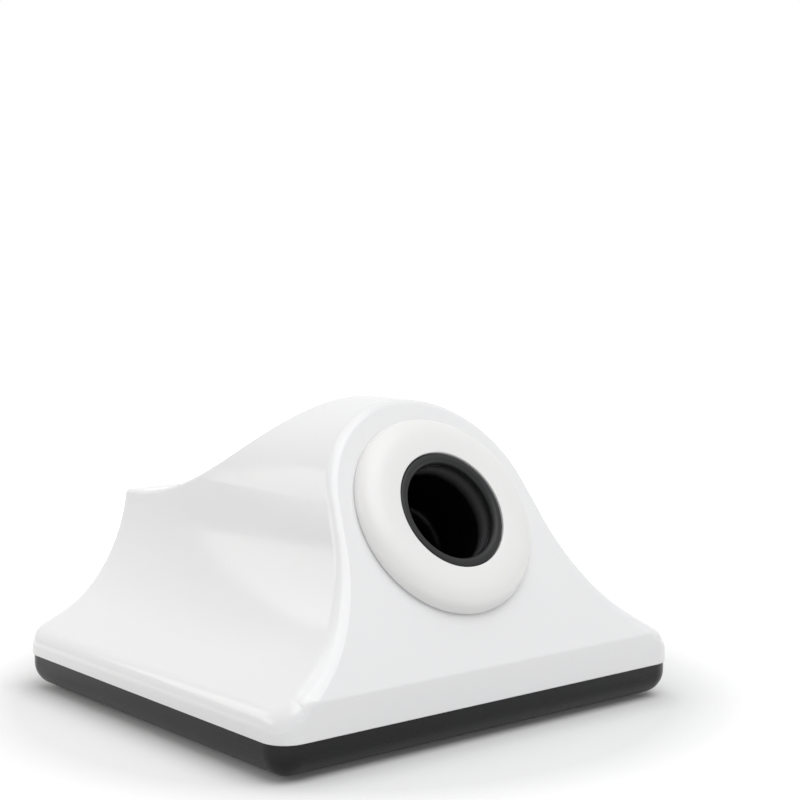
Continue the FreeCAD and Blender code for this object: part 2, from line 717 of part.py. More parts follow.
def heating_cup():
    """Glossy black blind cup: neck under the rim's bead, flange, rounded end, posts for the sensor board."""
    end = CUP_END
    outside = cylinder(CUP_OUTER, end - CUP_END_WALL, cup_edge())
    outside = outside.makeFillet(CUP_END_ROUND, bottom_edges(outside, end - CUP_END_WALL))
    flange = cylinder(RIM_RADIUS, BRACKET_FRONT, RIM_END)
    hollow = cylinder(MOUTH_RADIUS, end, RING_THICKNESS)
    hollow = hollow.makeFillet(CUP_END_ROUND - 0.5, bottom_edges(hollow, end))
    parts = [outside, flange]
    for side in (-1, 1):
        low = end - CUP_END_WALL - SENSOR_POST
        parts.append(cylinder(SENSOR_POST_RADIUS, low, end - 0.5, 0, side * SENSOR_POST_SPREAD))
    return placed(fused(parts).cut(hollow).removeSplitter(), FACE_FRAME)


def cup_bracket():
    """Three-eared plate that holds the cup's flange against the rim."""
    parts = [cylinder(BRACKET_RADIUS, BRACKET_BACK, BRACKET_FRONT)]
    for x, y, angle in ring_points(BRACKET_SCREW_CIRCLE, BRACKET_SCREWS):
        parts.append(cylinder(BRACKET_EAR, BRACKET_BACK, BRACKET_FRONT, x, y))
        web = Part.makeBox(BRACKET_SCREW_CIRCLE, 2 * BRACKET_EAR, BRACKET_THICKNESS)
        web.translate(V(0, -BRACKET_EAR, BRACKET_BACK))
        web.rotate(V(0, 0, 0), V(0, 0, 1), angle)
        parts.append(web)
    plate = fused(parts).cut(cylinder(CUP_OUTER + FIT_GAP, BRACKET_BACK - 1, BRACKET_FRONT + 1))
    for x, y, _ in ring_points(BRACKET_SCREW_CIRCLE, BRACKET_SCREWS):
        plate = plate.cut(
            cylinder(SMALL_SCREW_SHANK + SEAT_GAP, BRACKET_BACK - 1, BRACKET_FRONT + 1, x, y)
        )
    return placed(plate, FACE_FRAME)


def bracket_screws():
    """Screws that fasten the bracket to the shell's bosses."""
    screw = pan_screw(
        SMALL_SCREW_HEAD, SMALL_SCREW_HEAD_HEIGHT, SMALL_SCREW_SHANK, SMALL_SCREW_LENGTH
    )
    screw.rotate(V(0, 0, 0), V(1, 0, 0), 180)
    points = ring_points(BRACKET_SCREW_CIRCLE, BRACKET_SCREWS)
    return Part.Compound(
        [placed(screw.translated(V(x, y, BRACKET_BACK)), FACE_FRAME) for x, y, _ in points]
    )


def coil_former():
    """Bobbin that slides over the cup behind the bracket."""
    inner = CUP_OUTER + FIT_GAP
    top = BRACKET_BACK
    low = top - FORMER_LENGTH
    core = tube(inner + FORMER_WALL, inner, low, top)
    front = tube(FORMER_FLANGE, inner, top - FORMER_FLANGE_THICKNESS, top)
    back = tube(FORMER_FLANGE, inner, low, low + FORMER_FLANGE_THICKNESS)
    former = fused([core, front, back])
    for x, y, _ in ring_points(BRACKET_SCREW_CIRCLE, BRACKET_SCREWS):
        notch = cylinder(SMALL_SCREW_HEAD + 3 * SEAT_GAP, top - 2 * FORMER_FLANGE_THICKNESS, top + 1, x, y)
        former = former.cut(notch)
    return placed(former, FACE_FRAME)


def induction_coil():
    """Close-wound coil between the bobbin's flanges."""
    inner = CUP_OUTER + FIT_GAP + FORMER_WALL
    top = BRACKET_BACK - FORMER_FLANGE_THICKNESS
    low = BRACKET_BACK - FORMER_LENGTH + FORMER_FLANGE_THICKNESS
    return placed(tube(inner + COIL_THICKNESS, inner, low, top), FACE_FRAME)


def sensor_board_front():
    """Depth of the sensor board's front face along the mouth's axis."""
    return CUP_END - CUP_END_WALL - SENSOR_POST


def sensor_board():
    """Round board on the cup's posts."""
    front = sensor_board_front()
    return placed(cylinder(SENSOR_BOARD_RADIUS, front - BOARD_THICKNESS, front), FACE_FRAME)


def sensor_diode(side):
    """Domed diode on the sensor board that looks into the cup through its end."""
    low = sensor_board_front()
    dome = low + SENSOR_POST - 0.3 - LED_RADIUS
    barrel = cylinder(LED_RADIUS, low, dome, side * SENSOR_SPREAD, 0)
    cap = Part.makeSphere(LED_RADIUS, V(side * SENSOR_SPREAD, 0, dome))
    cap = cap.common(cylinder(2 * LED_RADIUS, dome, dome + 2 * LED_RADIUS, side * SENSOR_SPREAD, 0))
    return placed(fused([barrel, cap]), FACE_FRAME)


def board_screw_points():
    """Screw places of the power board."""
    x = BOARD_WIDTH / 2 - BOARD_SCREW_INSET
    y = BOARD_DEPTH / 2 - BOARD_SCREW_INSET
    return [(px, BOARD_Y + py) for px, py in corners(x, y)]


def power_board():
    """Circuit board on the tray's posts."""
    board = rounded_block(BOARD_WIDTH, BOARD_DEPTH, BOARD_HEIGHT, BOARD_TOP, 2.0)
    board.translate(V(0, BOARD_Y, 0))
    for x, y in board_screw_points():
        board = board.cut(cylinder(SMALL_SCREW_SHANK + SEAT_GAP, 0, 2 * BOARD_TOP, x, y))
    return board


def board_screws():
    """Screws of the power board."""
    screw = pan_screw(
        SMALL_SCREW_HEAD, SMALL_SCREW_HEAD_HEIGHT, SMALL_SCREW_SHANK, SMALL_SCREW_LENGTH
    )
    return Part.Compound([screw.translated(V(x, y, BOARD_TOP)) for x, y in board_screw_points()])


def sink_front_y():
    """Y of the heat sink's flat front, which carries the transistors."""
    return BOARD_Y - BOARD_DEPTH / 2 + SINK_FRONT


def heat_sink():
    """Extruded comb that stands on the board."""
    y = sink_front_y()
    top = BOARD_TOP + SINK_HEIGHT
    parts = [box(SINK_WIDTH, SINK_BASE, BOARD_TOP, top, 0, y + SINK_BASE / 2)]
    pitch = (SINK_WIDTH - SINK_FIN) / (SINK_FINS - 1)
    for k in range(SINK_FINS):
        x = -SINK_WIDTH / 2 + SINK_FIN / 2 + k * pitch
        depth = SINK_BASE + SINK_FIN_DEPTH
        parts.append(box(SINK_FIN, depth, BOARD_TOP, top, x, y + depth / 2))
    return fused(parts)


def power_transistors():
    """Two transistors against the heat sink, each on three leads."""
    back = sink_front_y()
    solids = []
    for side in (-1, 1):
        x = side * TRANSISTOR_SPREAD
        low = BOARD_TOP + LEAD_HEIGHT
        y = back - TRANSISTOR_THICKNESS / 2
        tab = box(TRANSISTOR_WIDTH, 1.3, low, low + TRANSISTOR_HEIGHT, x, back - 0.65)
        body = box(TRANSISTOR_WIDTH, TRANSISTOR_THICKNESS, low, low + TRANSISTOR_HEIGHT * 0.6, x, y)
        leads = [
            box(LEAD_WIDTH, LEAD_WIDTH * 0.6, BOARD_TOP, low + 0.5, x + k * LEAD_PITCH, y)
            for k in (-1, 0, 1)
        ]
        solids.append(fused([tab, body, *leads]))
    return Part.Compound(solids)


def smoothing_capacitor():
    """Upright electrolytic can with its rolled neck."""
    x = BOARD_WIDTH / 2 - CAN_RADIUS - CAN_FROM_SIDE
    can = cylinder(CAN_RADIUS, BOARD_TOP, BOARD_TOP + CAN_HEIGHT)
    rims = [e for e in can.Edges if isinstance(e.Curve, Part.Circle)]
    can = can.makeFillet(0.8, rims)
    neck = Part.makeTorus(CAN_RADIUS + 0.3, 0.7, V(0, 0, BOARD_TOP + 3.0))
    wires = terminal_place(1)[1] - TERMINAL_DEPTH / 2 - WIRE_STRAIGHT - WIRE_RADIUS
    return can.cut(neck).translated(V(x, wires - CAN_WIRE_GAP - CAN_RADIUS, 0))


def choke_coils():
    """Two wound ring chokes lying on the board."""
    reach = CHOKE_RADIUS + CHOKE_WIRE
    front = terminal_place(-1)[1] + TERMINAL_DEPTH / 2 + PART_SPACING
    behind_sink = sink_front_y() + SINK_BASE + SINK_FIN_DEPTH + 2 * PART_SPACING
    spots = [
        (reach + CHOKE_FROM_SIDE - BOARD_WIDTH / 2, front + reach),
        (reach + CHOKE_FROM_MIDDLE, behind_sink + reach),
    ]
    ring = Part.makeTorus(CHOKE_RADIUS, CHOKE_WIRE, V(0, 0, BOARD_TOP + CHOKE_WIRE))
    below = cylinder(2 * CHOKE_RADIUS, 0, BOARD_TOP + 0.4)
    pad = tube(CHOKE_RADIUS + 1.2, CHOKE_RADIUS - 1.2, BOARD_TOP, BOARD_TOP + 0.4)
    choke = ring.cut(below).fuse(pad).removeSplitter()
    return Part.Compound([choke.translated(V(x, y, 0)) for x, y in spots])


def film_capacitors():
    """Two boxed film capacitors of the resonant circuit."""
    solids = []
    for k in (0, 1):
        y = BOARD_Y + BOARD_DEPTH / 2 - FILM_CAP_FROM_EDGE - FILM_CAP_DEPTH / 2
        block = rounded_block(FILM_CAP_WIDTH, FILM_CAP_DEPTH, BOARD_TOP, BOARD_TOP + FILM_CAP_HEIGHT, 0.6)
        first = FILM_CAP_FROM_SIDE + (FILM_CAP_WIDTH - BOARD_WIDTH) / 2
        x = first + k * (FILM_CAP_WIDTH + PART_SPACING)
        solids.append(block.translated(V(x, y, 0)))
    return Part.Compound(solids)


def control_chip():
    """Controller chip with its two rows of leads."""
    x = -CHIP_WIDTH / 2 - CHIP_FROM_MIDDLE
    y = sink_front_y() + SINK_BASE + SINK_FIN_DEPTH + 2 * PART_SPACING + CHIP_DEPTH / 2 + CHIP_LEG
    body = box(CHIP_WIDTH, CHIP_DEPTH, BOARD_TOP + 0.2, BOARD_TOP + 0.2 + CHIP_HEIGHT, x, y)
    pitch = CHIP_WIDTH / (CHIP_PINS + 1)
    legs = [
        box(0.5, CHIP_DEPTH + 2 * CHIP_LEG, BOARD_TOP, BOARD_TOP + 0.6, x - CHIP_WIDTH / 2 + pitch * (k + 1), y)
        for k in range(CHIP_PINS)
    ]
    return fused([body, *legs])


def terminal_place(side):
    """Centre of a terminal block: 1 for the supply side, -1 for the coil side."""
    if side > 0:
        x = BOARD_WIDTH / 2 - SUPPLY_TERMINAL_FROM_SIDE - TERMINAL_WIDTH / 2
        return x, BOARD_Y + BOARD_DEPTH / 2 - SUPPLY_TERMINAL_FROM_EDGE - TERMINAL_DEPTH / 2
    x = COIL_TERMINAL_FROM_SIDE + (TERMINAL_WIDTH - BOARD_WIDTH) / 2
    return x, BOARD_Y - BOARD_DEPTH / 2 + COIL_TERMINAL_FROM_EDGE + TERMINAL_DEPTH / 2


def terminal_block(side):
    """Two-way screw terminal with its screw wells and wire mouths."""
    block = box(TERMINAL_WIDTH, TERMINAL_DEPTH, BOARD_TOP, BOARD_TOP + TERMINAL_HEIGHT)
    for k in (-1, 1):
        x = k * TERMINAL_WIDTH / 4
        block = block.cut(cylinder(1.9, BOARD_TOP + TERMINAL_HEIGHT - 1.2, BOARD_TOP + 2 * TERMINAL_HEIGHT, x, 0))
    place = terminal_place(side)
    return block.translated(V(place[0], place[1], 0))


def power_switch_body():
    """Snap-in switch housing: frame, well for the rocker, pivot sockets and side lugs."""
    margin = 2 * SWITCH_FLANGE_MARGIN
    frame = rounded_block(
        SWITCH_CUT_WIDTH + margin, SWITCH_CUT_HEIGHT + margin, 0, SWITCH_FLANGE, 1.0
    )
    rim = [e for e in frame.Edges if abs(e.CenterOfMass.z - SWITCH_FLANGE) < 1e-6]
    frame = frame.makeFillet(0.5, rim)
    body = rounded_block(SWITCH_CUT_WIDTH, SWITCH_CUT_HEIGHT, -SWITCH_DEPTH, 0.5, 0.6)
    parts = [frame, body]
    for side in (-1, 1):
        lug_face = Part.makePolygon(
            [
                V(-2.5, side * (SWITCH_CUT_HEIGHT / 2 - 0.3), -SHELL_WALL - SEAT_GAP - 3.0),
                V(-2.5, side * (SWITCH_CUT_HEIGHT / 2 - 0.3), -SHELL_WALL - SEAT_GAP),
                V(-2.5, side * (SWITCH_CUT_HEIGHT / 2 + 0.8), -SHELL_WALL - SEAT_GAP),
                V(-2.5, side * (SWITCH_CUT_HEIGHT / 2 - 0.3), -SHELL_WALL - SEAT_GAP - 3.0),
            ]
        )
        parts.append(Part.Face(lug_face).extrude(V(5.0, 0, 0)))
    housing = fused(parts)
    well_depth = ROCKER_PIVOT_DEPTH + 4.5
    well = box(
        SWITCH_CUT_WIDTH - 2 * SWITCH_WALL, SWITCH_CUT_HEIGHT - 2 * SWITCH_WALL, -well_depth, 2 * SWITCH_FLANGE
    )
    socket = Part.makeCylinder(
        ROCKER_PIN + RUN_GAP, SWITCH_CUT_WIDTH - 0.6, V(-SWITCH_CUT_WIDTH / 2 + 0.3, 0, -ROCKER_PIVOT_DEPTH), V(1, 0, 0)
    )
    return placed(housing.cut(well).cut(socket).removeSplitter(), rear_frame(SWITCH_X))


def power_rocker():
    """Rocker, drawn level and then tilted to its off stop, top end out, about its pivot."""
    width = SWITCH_CUT_WIDTH - 2 * SWITCH_WALL - 0.5
    reach = SWITCH_CUT_HEIGHT / 2 - SWITCH_WALL - 0.3
    pivot_z = -ROCKER_PIVOT_DEPTH
    rise = ROCKER_TOP - pivot_z
    half = math.sqrt(reach**2 - rise**2)
    left = V(0, -half, ROCKER_TOP)
    right = V(0, half, ROCKER_TOP)
    end_low = V(0, reach, pivot_z)
    start_low = V(0, -reach, pivot_z)
    mid_angle = math.atan2(rise, half) / 2
    side = V(0, reach * math.cos(mid_angle), pivot_z + reach * math.sin(mid_angle))
    keel = V(0, 2.2, pivot_z - 3.0)
    outline = Part.Wire(
        [
            Part.Arc(left, V(0, 0, ROCKER_TOP - ROCKER_DISH), right).toShape(),
            Part.Arc(right, side, end_low).toShape(),
            line(end_low, keel),
            line(keel, V(0, -keel.y, keel.z)),
            line(V(0, -keel.y, keel.z), start_low),
            Part.Arc(start_low, V(0, -side.y, side.z), left).toShape(),
        ]
    )
    body = Part.Face(outline).extrude(V(width, 0, 0))
    body.translate(V(-width / 2, 0, 0))
    rim = [e for e in body.Edges if e.CenterOfMass.z > (ROCKER_TOP + pivot_z) / 2 - 0.3]
    body = body.makeFillet(0.4, rim)
    pin_reach = SWITCH_CUT_WIDTH - 2 * 0.5
    pin = Part.makeCylinder(ROCKER_PIN, pin_reach, V(-pin_reach / 2, 0, pivot_z), V(1, 0, 0))
    rocker = fused([body, pin])
    rocker.rotate(V(0, 0, pivot_z), V(1, 0, 0), ROCKER_TILT)
    return placed(rocker, rear_frame(SWITCH_X))


def switch_blades():
    """Two blade terminals on the back of the switch."""
    blades = [
        box(BLADE_WIDTH, BLADE_THICKNESS, -SWITCH_DEPTH - BLADE_LENGTH, -SWITCH_DEPTH, 0, k * BLADE_SPREAD)
        for k in (-1, 1)
    ]
    return Part.Compound([placed(blade, rear_frame(SWITCH_X)) for blade in blades])


def dc_inlet():
    """Round panel socket for a low-voltage plug, with its centre pin and solder lugs."""
    flange = cylinder(INLET_FLANGE_RADIUS, 0, INLET_FLANGE)
    flange = flange.makeFillet(0.5, [e for e in flange.Edges if abs(e.CenterOfMass.z - INLET_FLANGE) < 1e-6 and isinstance(e.Curve, Part.Circle)])
    body = cylinder(INLET_BARREL, -INLET_BODY_LENGTH, 0.5)
    socket = cylinder(INLET_SOCKET, INLET_FLANGE - INLET_SOCKET_DEPTH, INLET_FLANGE + 1)
    pin = cylinder(INLET_PIN, INLET_FLANGE - INLET_SOCKET_DEPTH - 1, INLET_FLANGE - INLET_PIN_RECESS)
    low = -INLET_BODY_LENGTH - LUG_LENGTH
    lugs = [box(2.4, 0.8, low, 0.5 - INLET_BODY_LENGTH, 0, k * LUG_SPREAD) for k in (-1, 1)]
    shape = fused([flange, body]).cut(socket)
    return placed(fused([shape, pin, *lugs]), rear_frame(INLET_X))


def dc_inlet_nut():
    """Hexagon nut that clamps the inlet from inside."""
    corner = INLET_NUT_FLATS / math.sqrt(3)
    points = [V(x, y, 0) for x, y, _ in ring_points(corner, 6, 0.0)]
    nut = Part.Face(Part.makePolygon(points + points[:1])).extrude(V(0, 0, INLET_NUT))
    nut = nut.cut(cylinder(INLET_BARREL + SCREW_GAP, -1, INLET_NUT + 1))
    nut.translate(V(0, 0, -SHELL_WALL - INLET_NUT))
    return placed(nut, rear_frame(INLET_X))


def eased(points):
    """Route with each corner spread over two points, half an end run or a third of a middle run away."""
    runs = [(b - a).Length for a, b in zip(points, points[1:])]
    shares = [runs[0] / 2, *[run / 3 for run in runs[1:-1]], runs[-1] / 2]
    route = [points[0]]
    for k, corner in enumerate(points[1:-1]):
        reach = min(shares[k], shares[k + 1])
        route.append(corner + (points[k] - corner).normalize() * reach)
        route.append(corner + (points[k + 2] - corner).normalize() * reach)
    return [*route, points[-1]]


def wire_path(points):
    """Straight runs joined by tangent arcs as large as each pair of runs allows, and the arcs' radii."""
    edges = []
    radii = []
    start = points[0]
    for before, corner, after in zip(points, points[1:], points[2:]):
        back = before - corner
        ahead = after - corner
        run = min(back.Length, ahead.Length)
        turn = math.pi - back.getAngle(ahead)
        reach = 0.45 * run
        radius = reach / math.tan(turn / 2)
        radii.append(radius)
        entry = corner + back.normalize() * reach
        leave = corner + ahead.normalize() * reach
        inward = (back + ahead).normalize()
        middle = corner + inward * (radius / math.cos(turn / 2) - radius)
        edges += [line(start, entry), Part.Arc(entry, middle, leave).toShape()]
        start = leave
    edges.append(line(start, points[-1]))
    return Part.Wire(edges), radii


def wire(points, radius=WIRE_RADIUS):
    """Limp insulated wire along a route; prints its bends and its volume over section times length."""
    path, radii = wire_path(eased(points))
    heading = points[1] - points[0]
    section = Part.Wire([Part.makeCircle(radius, points[0], heading)])
    solid = path.makePipeShell([section], True, False)
    expected = math.pi * radius**2 * path.Length
    bends = ", ".join(f"{bend:.1f}" for bend in radii)
    print(f"wire of {path.Length:.1f} mm, bends {bends} mm, volume ratio {solid.Volume / expected:.4f}")
    return solid


def face_point(x, y, z):
    """Point given in the mouth's own axes."""
    return FACE_FRAME.multVec(V(x, y, z))


def panel_point(panel_x, x, y, z):
    """Point given in the axes of a rear panel part."""
    return rear_frame(panel_x).multVec(V(x, y, z))


def coil_leads():
    """Pair of wires from the coil down to the coil-side terminal."""
    place = terminal_place(-1)
    coil_radius = CUP_OUTER + FIT_GAP + FORMER_WALL + COIL_THICKNESS
    leads = []
    for k in (-1, 1):
        start = face_point(-coil_radius, 0, BRACKET_BACK - FORMER_LENGTH / 2 - k * 4.0)
        aside = start - V(WIRE_STRAIGHT, 0, 0)
        end = V(place[0] - k * TERMINAL_WIDTH / 4, place[1] - TERMINAL_DEPTH / 2, BOARD_TOP + 3.0)
        leads.append(wire([start, aside, end - V(0, WIRE_STRAIGHT, 0), end]))
    return Part.Compound(leads)


def panel_lead_start(panel_x, side, run):
    """End of a lug or blade of a panel part and a point straight in from it."""
    depth = INLET_BODY_LENGTH + LUG_LENGTH if panel_x == INLET_X else SWITCH_DEPTH + BLADE_LENGTH
    spread = LUG_SPREAD if panel_x == INLET_X else BLADE_SPREAD
    return [panel_point(panel_x, 0, side * spread, -depth - out) for out in (0.0, run)]


def supply_leads():
    """Wires from the inlet and the switch to the supply-side terminal, the inlet's over the switch's."""
    place = terminal_place(1)
    solids = []
    for k, panel_x in ((1, INLET_X), (-1, SWITCH_X)):
        end = V(place[0] + k * TERMINAL_WIDTH / 4, place[1] - TERMINAL_DEPTH / 2, BOARD_TOP + 3.0)
        before = end - V(0, WIRE_STRAIGHT, 0)
        start, inward = panel_lead_start(panel_x, -1, WIRE_STRAIGHT)
        over = [V(before.x, inward.y, inward.z + WIRE_LEVEL_GAP)] if k > 0 else []
        solids.append(wire([start, inward, *over, before, end]))
    return Part.Compound(solids)


def switch_lead():
    """Wire from the inlet's live lug to the switch."""
    start, start_in = panel_lead_start(INLET_X, 1, WIRE_STRAIGHT)
    end, end_in = panel_lead_start(SWITCH_X, 1, WIRE_STRAIGHT)
    return wire([start, start_in, end_in, end])


def sensor_lead():
    """Wire from the sensor board to the power board, between the transistors."""
    front = sensor_board_front() - BOARD_THICKNESS
    low = -SENSOR_BOARD_RADIUS / 2
    start = face_point(0, low, front)
    inward = face_point(0, low, front - SENSOR_WIRE_STRAIGHT)
    end = V(0, BOARD_Y - BOARD_DEPTH / 2 + 1.5 * PART_SPACING, BOARD_TOP)
    return wire([start, inward, end + V(0, 0, SENSOR_WIRE_STRAIGHT), end])


def build():
    """Make every piece and write it to its own file."""
    pieces = {
        "upper_shell": upper_shell(),
        "base_tray": base_tray(),
        "case_screws": case_screws(),
        "rubber_feet": rubber_feet(),
        "bezel_ring": bezel_ring(),
        "tunnel_rim": tunnel_rim(),
        "heating_cup": heating_cup(),
        "cup_bracket": cup_bracket(),
        "bracket_screws": bracket_screws(),
        "coil_former": coil_former(),
        "induction_coil": induction_coil(),
        "sensor_board": sensor_board(),
        "ir_emitter": sensor_diode(-1),
        "ir_receiver": sensor_diode(1),
        "power_board": power_board(),
        "board_screws": board_screws(),
        "heat_sink": heat_sink(),
        "power_transistors": power_transistors(),
        "smoothing_capacitor": smoothing_capacitor(),
        "choke_coils": choke_coils(),
        "film_capacitors": film_capacitors(),
        "control_chip": control_chip(),
        "supply_terminal": terminal_block(1),
        "coil_terminal": terminal_block(-1),
        "power_switch_body": power_switch_body(),
        "power_rocker": power_rocker(),
        "switch_blades": switch_blades(),
        "dc_inlet": dc_inlet(),
        "dc_inlet_nut": dc_inlet_nut(),
        "coil_leads": coil_leads(),
        "supply_leads": supply_leads(),
        "switch_lead": switch_lead(),
        "sensor_lead": sensor_lead(),
    }
    os.makedirs("parts", exist_ok=True)
    for name, shape in pieces.items():
        shape.exportStep(os.path.join("parts", name + ".step"))
        print(f"{name}: {len(shape.Solids)} solid(s), {shape.Volume:.0f} mm3, valid {shape.isValid()}")


if __name__ == "__main__":
    build()
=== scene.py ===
"""Looks of a wax knife heater: a white bell-shaped case on a black tray, with a dark round mouth.

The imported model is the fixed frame. The case, the tray and the pieces inside keep their own solids and get
their finishes here; the pieces that the solids leave plain are modelled over them.
"""

from __future__ import annotations

import logging
import math
from dataclasses import dataclass, field
from enum import Enum

import bmesh
import bpy
from mathutils import Matrix, Vector


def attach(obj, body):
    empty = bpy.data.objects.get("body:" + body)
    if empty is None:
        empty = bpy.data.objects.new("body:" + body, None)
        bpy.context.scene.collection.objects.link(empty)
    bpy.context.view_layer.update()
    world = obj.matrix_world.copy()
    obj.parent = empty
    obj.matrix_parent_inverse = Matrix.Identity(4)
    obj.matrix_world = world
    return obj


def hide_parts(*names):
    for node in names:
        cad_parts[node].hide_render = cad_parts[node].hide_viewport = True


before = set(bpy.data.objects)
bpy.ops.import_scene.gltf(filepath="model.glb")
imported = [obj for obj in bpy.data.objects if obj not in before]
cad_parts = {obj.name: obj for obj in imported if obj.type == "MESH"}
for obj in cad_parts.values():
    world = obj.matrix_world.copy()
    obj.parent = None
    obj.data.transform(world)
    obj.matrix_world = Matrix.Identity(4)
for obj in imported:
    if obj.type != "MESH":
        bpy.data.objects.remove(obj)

LOG = logging.getLogger("wax_knife_heater")
Rgb = tuple[float, float, float]
MM = 0.001
TINY = 1e-4
RING_REACH = 2e-3


class Noise(Enum):
    """Kinds of surface unevenness."""

    RIPPLE = "slow ripple of a polished moulding"
    GRAIN = "fine spark-eroded grain"
    DIMPLE = "soft dimples"


@dataclass(frozen=True)
class PaintedReflectionBand:
    """Painted reflection: a lighter grey band in the colour that fades in and out along an axis, standing in for
    the highlights on a glazed bore's inner wall.

    Attributes:
        axis: Direction of the axis.
        start: Distance along it where the painted band begins, in metres.
        end: Distance along it where the painted band has gone.
        colour: Linear colour where it is strongest.
    """

    axis: Rgb
    start: float
    end: float
    colour: Rgb


@dataclass(frozen=True)
class Finish:
    """A surface finish: colour, gloss and the unevenness that shows in them.

    Attributes:
        name: Name of the material.
        colour: Linear base colour.
        roughness: Mean roughness.
        metallic: 1 for bare metal, 0 otherwise.
        specular: Specular level.
        coat: Weight of a clear top coat.
        coat_roughness: Roughness of the top coat.
        tint_spread: How far the colour drifts over the piece, as a share.
        rough_spread: How far the roughness drifts.
        noise: Kind of unevenness.
        noise_scale: Waves of the unevenness per metre.
        bump: Height of the unevenness in metres.
        translucency: Weight of light scattered under the surface.
        painted_reflection: Lighter band painted into the colour as a reflection, if it has one.
    """

    name: str
    colour: Rgb
    roughness: float = 0.4
    metallic: float = 0.0
    specular: float = 0.5
    coat: float = 0.0
    coat_roughness: float = 0.05
    tint_spread: float = 0.02
    rough_spread: float = 0.04
    noise: Noise = Noise.GRAIN
    noise_scale: float = 1500.0
    bump: float = 0.00002
    translucency: float = 0.0
    painted_reflection: PaintedReflectionBand | None = None

    def make(self) -> bpy.types.Material:
        """Makes the material.

        Returns:
            The material with its node tree.
        """
        material = bpy.data.materials.new(self.name)
        material.use_nodes = True
        pad = NodePad(material)
        shader = pad.shader
        shader.inputs["Metallic"].default_value = self.metallic
        shader.inputs["Specular IOR Level"].default_value = self.specular
        shader.inputs["Coat Weight"].default_value = self.coat
        shader.inputs["Coat Roughness"].default_value = self.coat_roughness
        if self.translucency:
            shader.inputs["Subsurface Weight"].default_value = self.translucency
            shader.inputs["Subsurface Radius"].default_value = (1.0, 0.8, 0.6)
            shader.inputs["Subsurface Scale"].default_value = 0.001
        place = pad.object_place()
        self._colour(pad, place)
        self._roughness(pad, place)
        self._relief(pad, place)
        return material

    def _colour(self, pad: NodePad, place: bpy.types.NodeSocket) -> None:
        """Lets the colour drift a little over the piece, or paints a lighter reflection band along its axis."""
        if self.painted_reflection:
            # Painted reflection: the base colour turns lighter grey in a band along the axis.
            along = pad.along(place, self.painted_reflection.axis)
            share = pad.spread(along, self.painted_reflection.start, self.painted_reflection.end, 0.0, 1.0)
            stops = [(0.0, self.colour), (0.35, self.painted_reflection.colour), (0.5, self.painted_reflection.colour), (1.0, self.colour)]
            pad.link(pad.ramp(share, stops), pad.shader.inputs["Base Color"])
            return
        drift = pad.noise(place, scale=22.0, detail=2.0)
        low = tuple(c * (1.0 - self.tint_spread) for c in self.colour)
        high = tuple(min(1.0, c * (1.0 + self.tint_spread)) for c in self.colour)
        ramp = pad.ramp(drift, [(0.3, low), (0.7, high)])
        pad.link(ramp, pad.shader.inputs["Base Color"])

    def _roughness(self, pad: NodePad, place: bpy.types.NodeSocket) -> None:
        """Lets the gloss drift, with a finer mottle on top."""
        smear = pad.noise(place, scale=60.0, detail=5.0)
        low = self.roughness - self.rough_spread
        value = pad.spread(smear, 0.3, 0.7, max(low, 0.02), self.roughness + self.rough_spread)
        pad.link(value, pad.shader.inputs["Roughness"])

    def _relief(self, pad: NodePad, place: bpy.types.NodeSocket) -> None:
        """Raises the unevenness as a bump."""
        if self.noise is Noise.RIPPLE:
            height = pad.noise(place, scale=self.noise_scale, detail=1.0)
        elif self.noise is Noise.DIMPLE:
            height = pad.cells(place, scale=self.noise_scale)
        else:
            height = pad.noise(place, scale=self.noise_scale, detail=3.0)
        bump = pad.bump(height, self.bump)
        pad.link(bump, pad.shader.inputs["Normal"])


